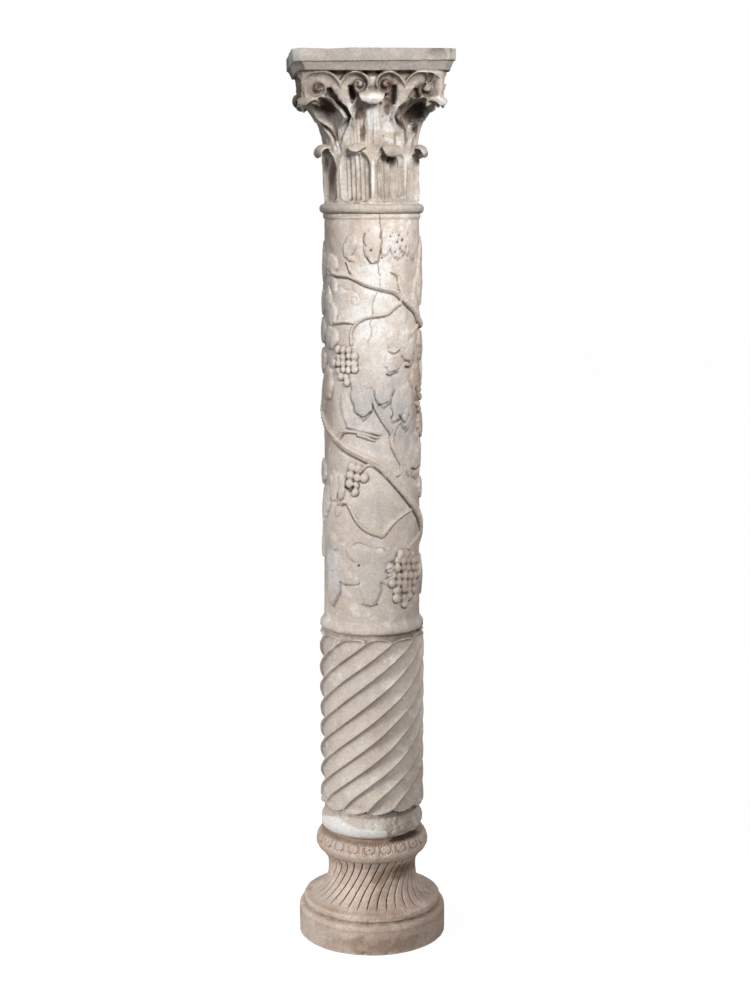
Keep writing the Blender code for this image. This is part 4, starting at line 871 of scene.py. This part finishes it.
# A warm cream painted highlight along the crests of the main stems and two branches
for route in (MAIN_STEM[:11], UPPER_STEM, BRANCHES[0], BRANCHES[9]):
    paint.line("warm", on_vine(route), 0.004, 0.8)
in_mend = mended(paint.turns, paint.heights, 0.002)
paint.lay("pale", 0.9 * in_mend)
for name in ("brown", "warm"):
    paint.layers[name] *= 1.0 - in_mend
paint.done()
shaft_marble = marble(
    "cream marble of the shaft", light=(0.465, 0.405, 0.355), shade=(0.385, 0.325, 0.278),
    pale=(0.575, 0.565, 0.548), brown=(0.28, 0.205, 0.155), grey=(0.335, 0.322, 0.312),
    dark=(0.09, 0.058, 0.042))
dressed(shaft, shaft_marble, "shaft")

# Capital
# One block of grey-white marble with its neck ring and square slab: two rows of leaves round a bell,
# with two scrolls on each side and a larger one at each corner. It rests on the shaft by its own weight.

CAPITAL_FOOT = 1.646
CAPITAL_HEIGHT = 0.339
# The slab sits turned a little to the right, the carving under it less so, and all leans to the left
SLAB_TURN = math.radians(5.0)
CARVING_TURN = math.radians(3.3)
CAPITAL_LEAN = 0.027
RING_HEIGHT = 0.0215
SCROLL_TOP = 0.2945
# Upper leaves from foot to tip: heights, half widths in degrees, radii of their middle and of their edges
CENTRE_LEAF = (
    (0.124, 0.146, 0.163, 0.182, 0.2, 0.22, 0.242), (38.0, 40.0, 36.0, 28.0, 22.5, 21.0, 13.0),
    (0.103, 0.105, 0.106, 0.108, 0.112, 0.12, 0.14), (0.104, 0.107, 0.11, 0.116, 0.125, 0.137, 0.15))
CORNER_LEAF = (
    (0.128, 0.15, 0.177, 0.191, 0.2, 0.213, 0.226, 0.242), (1.5, 2.0, 5.0, 14.0, 19.0, 17.0, 14.0, 10.0),
    (0.101, 0.101, 0.101, 0.102, 0.103, 0.108, 0.122, 0.165),
    (0.103, 0.106, 0.112, 0.125, 0.133, 0.145, 0.16, 0.185))
# Radius of a scroll after each quarter turn, from its stalk over the top and in to its eye
CORNER_SCROLL = (0.049, 0.0345, 0.042, 0.023, 0.0165, 0.0135, 0.012, 0.0095)
INNER_SCROLL = (0.0425, 0.0285, 0.0225, 0.019, 0.0146, 0.011, 0.009, 0.0075)
# Their eyes: how far from the middle of the side, and how high
CORNER_EYE = (0.1116, 0.2595)
INNER_EYE = (0.0273, 0.2655)
# Half widths of a side's scrolls together and of the slab, and how far across its corners the block is cut
PLATE_HALF = 0.1495
SLAB_HALF = 0.1712
CORNER_CUT = 0.297
RING_RADIUS = 0.115
BELL_RADIUS = 0.0975
BELL_FLARE = 0.0185
LOWER_LEAF_RELIEF = 0.008
FORM_TRIANGLES = 540000
CAPITAL_TRIANGLES = 196000
JOIN_CELL = 0.0016


def bell_radii(turns, heights):
    """Neck ring, bell and both rows of leaves of the capital, as a radius for each height and turn."""
    middle = 0.5 * RING_HEIGHT
    ring = RING_RADIUS - 0.9 * middle * (1.0 - half_round((heights - middle) / middle))
    ring = np.where(heights < RING_HEIGHT, ring, 0.0)
    climb = np.clip((heights - RING_HEIGHT) / (SCROLL_TOP - RING_HEIGHT), 0.0, 1.0)
    bell = BELL_RADIUS + BELL_FLARE * climb**2
    radii = np.repeat(np.maximum(ring, bell)[:, None], len(turns), axis=1)
    level = heights[:, None]
    local = turns[None, :] - CARVING_TURN

    # Lower leaves: tall hollow arches between thin raised ribs with spreading feet, and reeds inside
    each = 0.25 * math.pi
    signed = (local % each - 0.5 * each) / (0.5 * each)
    off = np.abs(signed)
    over_arch = np.maximum(level - 0.097, 0.0) / 0.04
    under_arch = np.maximum(0.036 - level, 0.0) / 0.012
    out = np.hypot(np.hypot(off / 0.86, over_arch), under_arch)
    edge = bump((out - 1.0) / 0.1)
    between = 0.8 * smooth((out - 1.0) / 0.08) * smooth((0.142 - level) / 0.03)
    reeds = 0.26 * np.cos(7.0 * math.pi * off) * smooth((0.9 - out) / 0.15)
    hollow = 0.75 * smooth((0.96 - out) / 0.22)
    foot_flare = 0.8 * bump((off - 1.0) / 0.26) * smooth((0.038 - level) / 0.012)
    rise = smooth((level - RING_HEIGHT) / 0.004) * smooth((0.152 - level) / 0.012)
    radii += LOWER_LEAF_RELIEF * (np.maximum(np.maximum(edge, between), foot_flare) + reeds - hollow) * rise

    # Upper leaves: one in the middle of each side and a hollow one under each corner, bending outwards
    quarter = 0.5 * math.pi
    for first, (levels, widths, middle_radii, edge_radii) in ((0.0, CENTRE_LEAF), (0.5, CORNER_LEAF)):
        signed = (local - first * quarter + 0.5 * quarter) % quarter - 0.5 * quarter
        beside = np.abs(signed)
        half = np.radians(np.interp(heights, levels, widths))[:, None]
        middle_line = np.interp(heights, levels, middle_radii)[:, None]
        rim = np.interp(heights, levels, edge_radii)[:, None]
        out = beside / half
        if first == 0.0:
            # A broad midrib between two hollows, fine grooves, and a cut down the middle
            rib = np.maximum(bump((out - 0.93) / 0.09), 0.8 * smooth((0.44 - out) / 0.16))
            low_sides = smooth((0.17 - level) / 0.03) * smooth((out - 0.35) / 0.1)
            leaf = middle_line + (rim - middle_line) * np.maximum(rib, 0.9 * low_sides)
            leaf -= 0.0035 * smooth((0.8 - out) / 0.3)
            leaf -= 0.003 * bump(beside / 0.012) * smooth((0.212 - level) / 0.02)
            leaf += 0.0009 * np.sin(90.0 * beside) * smooth((0.9 - out) / 0.2)
            leaf -= 0.0016 * bump((beside - 0.5) / 0.02) * smooth((0.175 - level) / 0.02)
        else:
            # A deep scoop with a sharp edge
            leaf = middle_line + (rim - middle_line) * smooth((out - 0.55) / 0.36)
            leaf += 0.0008 * np.sin(80.0 * signed + 60.0 * level) * smooth((0.9 - out) / 0.2)
        leaf -= (rim - bell[:, None]) * smooth((out - 1.0) / 0.08)
        present = (out < 1.1) & (level > levels[0]) & (level < levels[-1])
        radii = np.where(present, np.maximum(radii, leaf), radii)
    return radii


def scroll(across, height, centre, quarter_radii, face, dish, rim_width, outer):
    """Front of one spiral: its band leaves the stalk, climbs over the top and winds in to its eye."""
    toward_stalk = np.abs(across) - centre[0]
    if outer:
        toward_stalk = -toward_stalk
    up = height - centre[1]
    out = np.hypot(toward_stalk, up)
    bearing = np.degrees(np.arctan2(up, toward_stalk)) % 360.0
    quarters = 90.0 * np.arange(len(quarter_radii))
    raised = smooth((0.75 * quarter_radii[-1] - out) / 0.003)
    for wound in (bearing, bearing + 360.0):
        band = np.interp(wound, quarters, quarter_radii)
        raised = np.maximum(raised, bump((out - band + rim_width) / rim_width))
    edge = np.interp(bearing, quarters, quarter_radii)
    deeper = 0.55 + 0.45 * smooth((edge - out) / (0.45 * edge))
    return np.where(out < edge, face - dish * (1.0 - raised) * deeper, 0.0)


def side_front(across, height, side):
    """How far the scrolls and stalks of one side of the capital stand out from its middle plane."""
    face = np.interp(height, (0.185, 0.21, 0.24, 0.265, SCROLL_TOP), (0.116, 0.128, 0.147, 0.157, 0.1585))
    front = np.interp(height, (0.2, 0.24, 0.288), (0.112, 0.117, 0.13))
    climb = np.clip((height - 0.1945) / (0.2655 - 0.1945), 0.0, 1.0)
    inner_edge = 0.0365 + 0.014 * climb**0.7
    outer_edge = 0.0465 + 0.045 * climb
    off = (2.0 * np.abs(across) - inner_edge - outer_edge) / (outer_edge - inner_edge)
    sinking = 0.024 * smooth((height - 0.255) / 0.028)
    stalk = np.where(np.abs(off) < 1.0, face - 0.002 - 0.007 * (1.0 - half_round(off)) - sinking, 0.0)
    corner = scroll(across, height, CORNER_EYE, CORNER_SCROLL, face, 0.0125, 0.004, True)
    if side == 0:
        # On the seen side the right corner scroll is cut deeper, and thin webs were left in it
        crisp = scroll(across, height, CORNER_EYE, CORNER_SCROLL, face, 0.019, 0.0034, True)
        from_eye, over_eye = across - CORNER_EYE[0], height - CORNER_EYE[1]
        for bearing in (97.0, 128.0):
            angle = math.radians(bearing)
            toward = -from_eye * math.cos(angle) + over_eye * math.sin(angle)
            beside = from_eye * math.sin(angle) + over_eye * math.cos(angle)
            on_web = (toward > 0.006) & (toward < 0.03) & (crisp > 0.0)
            web = face - 0.004 - 0.02 * smooth((np.abs(beside) - 0.0012) / 0.001)
            crisp = np.where(on_web, np.maximum(crisp, web), crisp)
        corner = np.where(across > 0.0, crisp, corner)
    inner = scroll(across, height, INNER_EYE, INNER_SCROLL, face - 0.002, 0.019, 0.0042, False)
    web = face - 0.011 - 0.01 * smooth((height - 0.28) / 0.01)
    web = np.where((np.abs(across) < 0.011) & (height > 0.236), web, 0.0)
    block = np.where((np.abs(across) > CORNER_EYE[0]) & (corner == 0.0), face - 0.002, 0.0)
    for part in (stalk, corner, inner, web, block):
        front = np.maximum(front, part)
    # Deep drilled hollows beside the inner scrolls
    front -= 0.024 * bump((np.abs(across) - 0.0405) / 0.006) * bump((height - 0.25) / 0.015)
    # The corners are cut across, softly
    cut = CORNER_CUT - np.abs(across)
    return np.minimum(front, cut) - 0.004 * bump((front - cut) / 0.008)


def stitched(front, back):
    """Points and faces of a closed body between two grids of points of the same shape."""
    rows, columns = front.shape[:2]
    count = rows * columns
    points = np.vstack([front.reshape(-1, 3), back.reshape(-1, 3)])
    faces = []
    for row in range(rows - 1):
        for column in range(columns - 1):
            first = row * columns + column
            quad = (first, first + 1, first + columns + 1, first + columns)
            faces.append(quad)
            faces.append(tuple(count + corner for corner in reversed(quad)))
    rim = list(range(columns))
    rim += [row * columns + columns - 1 for row in range(1, rows)]
    rim += [(rows - 1) * columns + column for column in range(columns - 2, -1, -1)]
    rim += [row * columns for row in range(rows - 2, 0, -1)]
    for here, following in zip(rim, rim[1:] + rim[:1]):
        faces.append((following, here, count + here, count + following))
    return points, faces


def side_plate(turn, side):
    """The scrolls of one side as a closed wedge that meets its neighbours at the corners."""
    shares = np.linspace(0.0, 1.0, 110)
    across_line = np.linspace(-PLATE_HALF, PLATE_HALF, 300)
    foot_at = ((0.0, 0.03, 0.04, 0.055, 0.078), (0.237, 0.216, 0.1945, 0.222, 0.2386))
    foot = np.interp(np.abs(across_line), *foot_at)
    across = np.repeat(across_line[None, :], len(shares), axis=0)
    height = foot[None, :] + shares[:, None] * (SCROLL_TOP - foot[None, :])
    front = side_front(across, height, side)
    back = np.minimum(np.maximum(0.07, np.abs(across) - 0.012), front - 0.008)

    def placed(depth):
        return np.stack([across * math.cos(turn) + depth * math.sin(turn),
                         across * math.sin(turn) - depth * math.cos(turn), height], axis=2)

    return stitched(placed(front), placed(back))


def lip(turn, reach, top, width, roll, thickness, wrap):
    """The tip of a leaf rolled forwards and down: a thick hooked sheet with a round end."""
    shares = np.linspace(0.0, 1.0, 36)[:, None]
    sides = np.linspace(-1.0, 1.0, 31)[None, :]
    bearing = math.pi * (1.1 - wrap * shares)
    half = 0.5 * width * half_round(np.clip((shares - 0.45) / 0.55, 0.0, 0.96))
    sag = 0.45 * roll * sides**2 * np.clip(1.5 - 1.5 * shares, 0.0, 1.0)

    def skin(size):
        radius = reach - roll + size * np.cos(bearing) - 0.25 * sag
        height = top - roll + size * np.sin(bearing) - sag
        spread = turn + sides * half / reach
        return np.stack([radius * np.sin(spread), -radius * np.cos(spread), height], axis=2)

    thick = thickness * (1.0 - 0.45 * np.abs(sides))
    return stitched(skin(roll - thick), skin(roll))


def slab():
    """The square top: a flat edge band, a hollow moulding under it, and a neck behind the scrolls."""
    levels = ((CAPITAL_HEIGHT + 0.004, 0.0), (0.3165, 0.0), (0.315, 0.0006), (0.3146, 0.0036),
              (0.309, 0.0062), (0.303, 0.0088), (0.2975, 0.0105), (0.2945, 0.0112), (0.294, 0.04),
              (0.28, 0.042))
    cuts = (0.028, 0.018, 0.015, 0.028)
    points = []
    for height, set_back in levels:
        half = SLAB_HALF - set_back
        for corner, cut in enumerate(cuts):
            turn = SLAB_TURN + 0.5 * math.pi * (corner - 1)
            for beside, depth in ((-half + cut, half), (half - cuts[(corner + 1) % 4], half)):
                points.append((beside * math.cos(turn) + depth * math.sin(turn),
                               beside * math.sin(turn) - depth * math.cos(turn), height))
    faces = [tuple(range(8)), tuple(reversed(range(len(points) - 8, len(points))))]
    for step in range(len(levels) - 1):
        for corner in range(8):
            here, following = 8 * step + corner, 8 * step + (corner + 1) % 8
            faces.append((here, here + 8, following + 8, following))
    return np.array(points), faces


turns = np.arange(900) * 2.0 * math.pi / 900
heights = np.arange(-0.004, SCROLL_TOP + 0.004, 0.001)
capital = grid_object("capital_stone", bell_radii(turns, heights), turns, heights, FORM_TRIANGLES)
shapes = [slab()]
for side in range(4):
    turn = CARVING_TURN + side * 0.5 * math.pi
    shapes.append(side_plate(turn, side))
    shapes.append(lip(turn - 0.015, 0.167, 0.2562, 0.06, 0.0172, 0.014, 1.42))
    shapes.append(lip(turn + 0.25 * math.pi, 0.207, 0.245, 0.05, 0.015, 0.013, 1.28))
# Offset of each lower lip in degrees, its reach and how far it hangs down; the seen left one is worn
LOWER_LIPS = ((-3.5, 0.129, 1.45), (0, 0.1285, 1.4), (1, 0.128, 1.4), (-1, 0.1285, 1.4), (0, 0.128, 1.4),
              (2, 0.128, 1.4), (0, 0.1285, 1.4), (4.0, 0.124, 1.15))
for place, (offset, reach, hang) in enumerate(LOWER_LIPS):
    turn = CARVING_TURN + (place + 0.5) * 0.25 * math.pi + math.radians(offset)
    shapes.append(lip(turn, reach, 0.1475, 0.047, 0.0165, 0.009, hang))
form = bmesh.new()
form.from_mesh(capital.data)
for points, faces in shapes:
    corners = [form.verts.new(point) for point in points]
    for face in faces:
        form.faces.new([corners[index] for index in face])
form.to_mesh(capital.data)
form.free()
joined = capital.modifiers.new("one block", "REMESH")
joined.mode = "VOXEL"
joined.voxel_size = JOIN_CELL
settle(capital)
thin(capital, CAPITAL_TRIANGLES)

# The surface is worn uneven all over
points = points_of(capital)
normals = np.empty(3 * len(points))
capital.data.vertices.foreach_get("normal", normals)
normals = normals.reshape(-1, 3)
soft = np.array([noise.fractal(mathutils.Vector(point) * 38.0, 0.9, 2.1, 4) for point in points])
sharp = np.array([noise.noise(mathutils.Vector(point) * 190.0) for point in points])
points += normals * (0.0011 * soft + 0.00045 * sharp - 0.0008)[:, None]
# The lean, the slab's own slight fall to the left, its worn top edge and its broken lower left corner
points[:, 0] -= CAPITAL_LEAN * np.maximum(0.0, points[:, 2] - RING_HEIGHT)
points[:, 2] -= 0.015 * (0.175 - points[:, 0]) * smooth((points[:, 2] - 0.292) / 0.008)
in_front = smooth((-points[:, 1] - 0.1) / 0.05)
worn_edge = bump((points[:, 0] + 0.085) / 0.03) * smooth((points[:, 2] - 0.325) / 0.01)
points[:, 2] -= 0.0022 * worn_edge * in_front
chipped = smooth((-0.14 - points[:, 0]) / 0.02) * smooth((0.316 - points[:, 2]) / 0.012)
chipped *= smooth((points[:, 2] - 0.284) / 0.006)
points[:, :2] *= (1.0 - 0.035 * chipped * in_front)[:, None]
points[:, 2] += CAPITAL_FOOT
room = 0.0005
for side in (0, 1):
    points[:, side] = np.clip(points[:, side], cad_low[side] + room, cad_high[side] - room)
points[:, 2] = np.clip(points[:, 2], CAPITAL_FOOT, CAPITAL_FOOT + CAPITAL_HEIGHT)
capital.data.vertices.foreach_set("co", points.ravel())
capital.data.update()

paint = Paint(capital, 0.12)
# Stains, and painted light: the hollow spots are painted shade in the scrolls, the scoops and under the
# lips, the dark brown in the left corner scoop is painted shade too, and the pale spot on the centre leaf's
# lip is a painted highlight
paint.front_spots((
    ("brown", -92, 1870, 31, 22, 1), ("hollow", -92, 1872, 25, 16, 0.88), ("hollow", -108, 1909, 6, 6, 0.75),
    ("brown", -78, 1812, 6, 27, 0.8), ("brown", -27, 1853, 13, 21, 0.95), ("hollow", -32, 1852, 5, 15, 0.65),
    ("brown", -18, 1814, 8, 24, 0.9), ("hollow", -40, 1898, 8, 20, 0.95), ("brown", -26, 1918, 16, 15, 0.8),
    ("brown", 30, 1914, 19, 20, 0.95), ("hollow", 43, 1921, 6, 16, 0.6), ("brown", 45, 1890, 9, 18, 0.95),
    ("brown", 98, 1920, 12, 15, 0.6), ("brown", -108, 1908, 12, 12, 0.9), ("hollow", -84, 1901, 5, 6, 0.8),
    ("hollow", -73, 1889, 5, 6, 0.8), ("hollow", -65, 1878, 5, 6, 0.75), ("brown", 113, 1907, 6, 6, 0.8),
    ("hollow", 96, 1861, 30, 30, 0.98), ("hollow", 92, 1830, 8, 24, 0.9), ("brown", 72, 1850, 14, 27, 0.95),
    ("brown", 73, 1812, 5, 26, 0.8), ("brown", 32, 1864, 8, 14, 0.9), ("brown", 49, 1806, 4, 18, 0.65),
    ("brown", 3, 1815, 3, 26, 0.55), ("brown", -84, 1730, 12, 45, 0.9), ("brown", -99, 1748, 8, 27, 0.8),
    ("warm", -14, 1723, 13, 40, 1.0), ("brown", -36, 1676, 17, 5, 0.6), ("warm", 41, 1723, 28, 40, 0.95),
    ("brown", 42, 1685, 27, 8, 0.65), ("hollow", 45, 1757, 17, 11, 0.97), ("warm", 90, 1727, 10, 40, 1.0),
    ("pale", 5, 1889, 19, 10, 0.95), ("pale", 3, 1845, 18, 32, 0.85), ("pale", 40, 1832, 17, 26, 0.7),
    ("pale", 3, 1723, 4, 48, 0.95), ("pale", -68, 1731, 4, 40, 0.8), ("pale", 72, 1731, 4, 40, 0.6),
    ("pale", -56, 1818, 15, 22, 0.55), ("pale", -37, 1769, 10, 10, 0.9), ("pale", -47, 1855, 5, 27, 0.9),
    ("pale", 56, 1859, 5, 27, 0.9), ("pale", 2, 1924, 6, 17, 0.6), ("grey", -14, 1871, 13, 8, 0.85),
    ("grey", -48, 1755, 15, 22, 0.65), ("grey", -132, 1908, 24, 26, 0.75), ("grey", -136, 1876, 18, 13, 0.8),
    ("grey", 45, 1778, 22, 13, 0.6), ("grey", -107, 1814, 17, 30, 0.4), ("warm", 133, 1878, 13, 11, 0.9),
    ("brown", -64, 1926, 4, 9, 0.6), ("brown", 71, 1926, 4, 9, 0.6),
))
paint.spots((
    ("brown", 64, 1930, 40, 20, 0.4), ("warm", 24, 1661, 40, 8, 0.65),
))
# A veil of brown between and above the scrolls
behind = smooth((paint.heights - 1.885) / 0.01) * smooth((1.9385 - paint.heights) / 0.003)
paint.lay("brown", 0.48 * behind)
# Painted shade for small drilled holes in the centre leaf, which are not cut
DRILLED = ((-7.9, 1848.7), (12.0, 1849.8), (-42.5, 1852.3), (-37.6, 1821.4), (13.3, 1809.4), (-9.9, 1810.5))
paint.spots([("hollow", turn, height, 2.1, 2.1, 0.95, 0.4, 0.1) for turn, height in DRILLED])
# The slab is grey, apart from its left face, which is painted pale as painted light
on_slab = smooth((paint.heights - 1.938) / 0.004)
left_face = smooth((-0.143 - paint.from_side) / 0.006)
paint.lay("grey", 0.95 * on_slab * (1.0 - left_face))
paint.lay("pale", 0.8 * on_slab * left_face)
paint.lay("brown", 0.35 * bump((paint.heights - 1.9415) / 0.003))
paint.lay("warm", 0.75 * smooth((1.668 - paint.heights) / 0.002))
paint.done()
capital_marble = marble(
    "grey-white marble of the capital", light=(0.41, 0.362, 0.312), shade=(0.31, 0.262, 0.216),
    pale=(0.57, 0.558, 0.538), brown=(0.105, 0.063, 0.04), grey=(0.235, 0.21, 0.188),
    dark=(0.055, 0.031, 0.02))
dressed(capital, capital_marble, "capital")

# Floor, light and camera
# A white floor and a white room shell that only the camera sees, a dark card under the floor, a soft key
# light from the upper left and a weak even light from all round.


def glowing(name, strength, diffuse_share):
    """A white surface that is bright by itself, with a share that takes light and shade."""
    material = bpy.data.materials.new(name)
    material.use_nodes = True
    shader = material.node_tree.nodes["Principled BSDF"]
    shader.inputs["Base Color"].default_value = (diffuse_share, diffuse_share, diffuse_share, 1.0)
    shader.inputs["Roughness"].default_value = 1.0
    shader.inputs["Specular IOR Level"].default_value = 0.0
    shader.inputs["Emission Color"].default_value = (1.0, 1.0, 1.0, 1.0)
    shader.inputs["Emission Strength"].default_value = strength
    return material


def stage_piece(name, mesh, material, seen, lights):
    made = bpy.data.objects.new(name, mesh)
    bpy.context.scene.collection.objects.link(made)
    mesh.materials.append(material)
    made.visible_camera = seen
    made.visible_diffuse = lights
    made.visible_glossy = lights
    made.visible_shadow = False
    made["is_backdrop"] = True


FLOOR_HALF = 20.0
ROOM_RADIUS = 19.0
for name, level, material, seen in (("floor", -0.0002, glowing("white floor", 0.9, 0.16), True),
                                    ("dark card", -0.0004, glowing("dark card", 0.0, 0.22), False)):
    sheet = bpy.data.meshes.new(name)
    corners = [(x * FLOOR_HALF, y * FLOOR_HALF, level) for x, y in ((-1, -1), (1, -1), (1, 1), (-1, 1))]
    sheet.from_pydata(corners, [], [(0, 1, 2, 3)])
    stage_piece(name, sheet, material, seen, not seen)
shell = bmesh.new()
bmesh.ops.create_uvsphere(shell, u_segments=32, v_segments=16, radius=ROOM_RADIUS)
shell_mesh = bpy.data.meshes.new("room shell")
shell.to_mesh(shell_mesh)
shell.free()
stage_piece("room shell", shell_mesh, glowing("white room", 1.0, 0.0), True, False)

world = bpy.data.worlds.new("even light")
world.use_nodes = True
world.node_tree.nodes["Background"].inputs["Color"].default_value = (0.96, 0.98, 1.0, 1.0)
world.node_tree.nodes["Background"].inputs["Strength"].default_value = 0.58
bpy.context.scene.world = world


def soft_box(name, place, aim, width, height, watts, spread):
    lamp = bpy.data.lights.new(name, "AREA")
    lamp.shape = "RECTANGLE"
    lamp.size = width
    lamp.size_y = height
    lamp.energy = watts
    lamp.spread = math.radians(spread)
    made = bpy.data.objects.new(name, lamp)
    made.location = place
    heading = mathutils.Vector(aim) - mathutils.Vector(place)
    made.rotation_euler = heading.to_track_quat("-Z", "Y").to_euler()
    bpy.context.scene.collection.objects.link(made)


soft_box("front key", (0.95, -2.7, 2.75), (0.0, 0.0, 1.84), 0.9, 0.7, 15.0, 52.0)
soft_box("left key", (-2.6, -1.9, 1.35), (0.0, 0.0, 0.06), 0.9, 1.0, 16.5, 66.0)
soft_box("low fill", (1.9, -2.5, 0.9), (0.0, 0.0, 0.06), 0.8, 0.6, 2.6, 60.0)

CAMERA_PLACE = (0.007, -3.92, 1.675)
CAMERA_FALL = 9.62
lens = bpy.data.cameras.new("camera")
lens.lens = 63.7
lens.sensor_width = 36.0
camera = bpy.data.objects.new("camera", lens)
camera.location = CAMERA_PLACE
camera.rotation_euler = (math.radians(90.0 - CAMERA_FALL), 0.0, 0.0)
bpy.context.scene.collection.objects.link(camera)
bpy.context.scene.camera = camera
bpy.context.scene.view_settings.view_transform = "Standard"

low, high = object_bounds()
sizes = {"cad": [list(cad_low), list(cad_high)], "visual": [list(low), list(high)]}
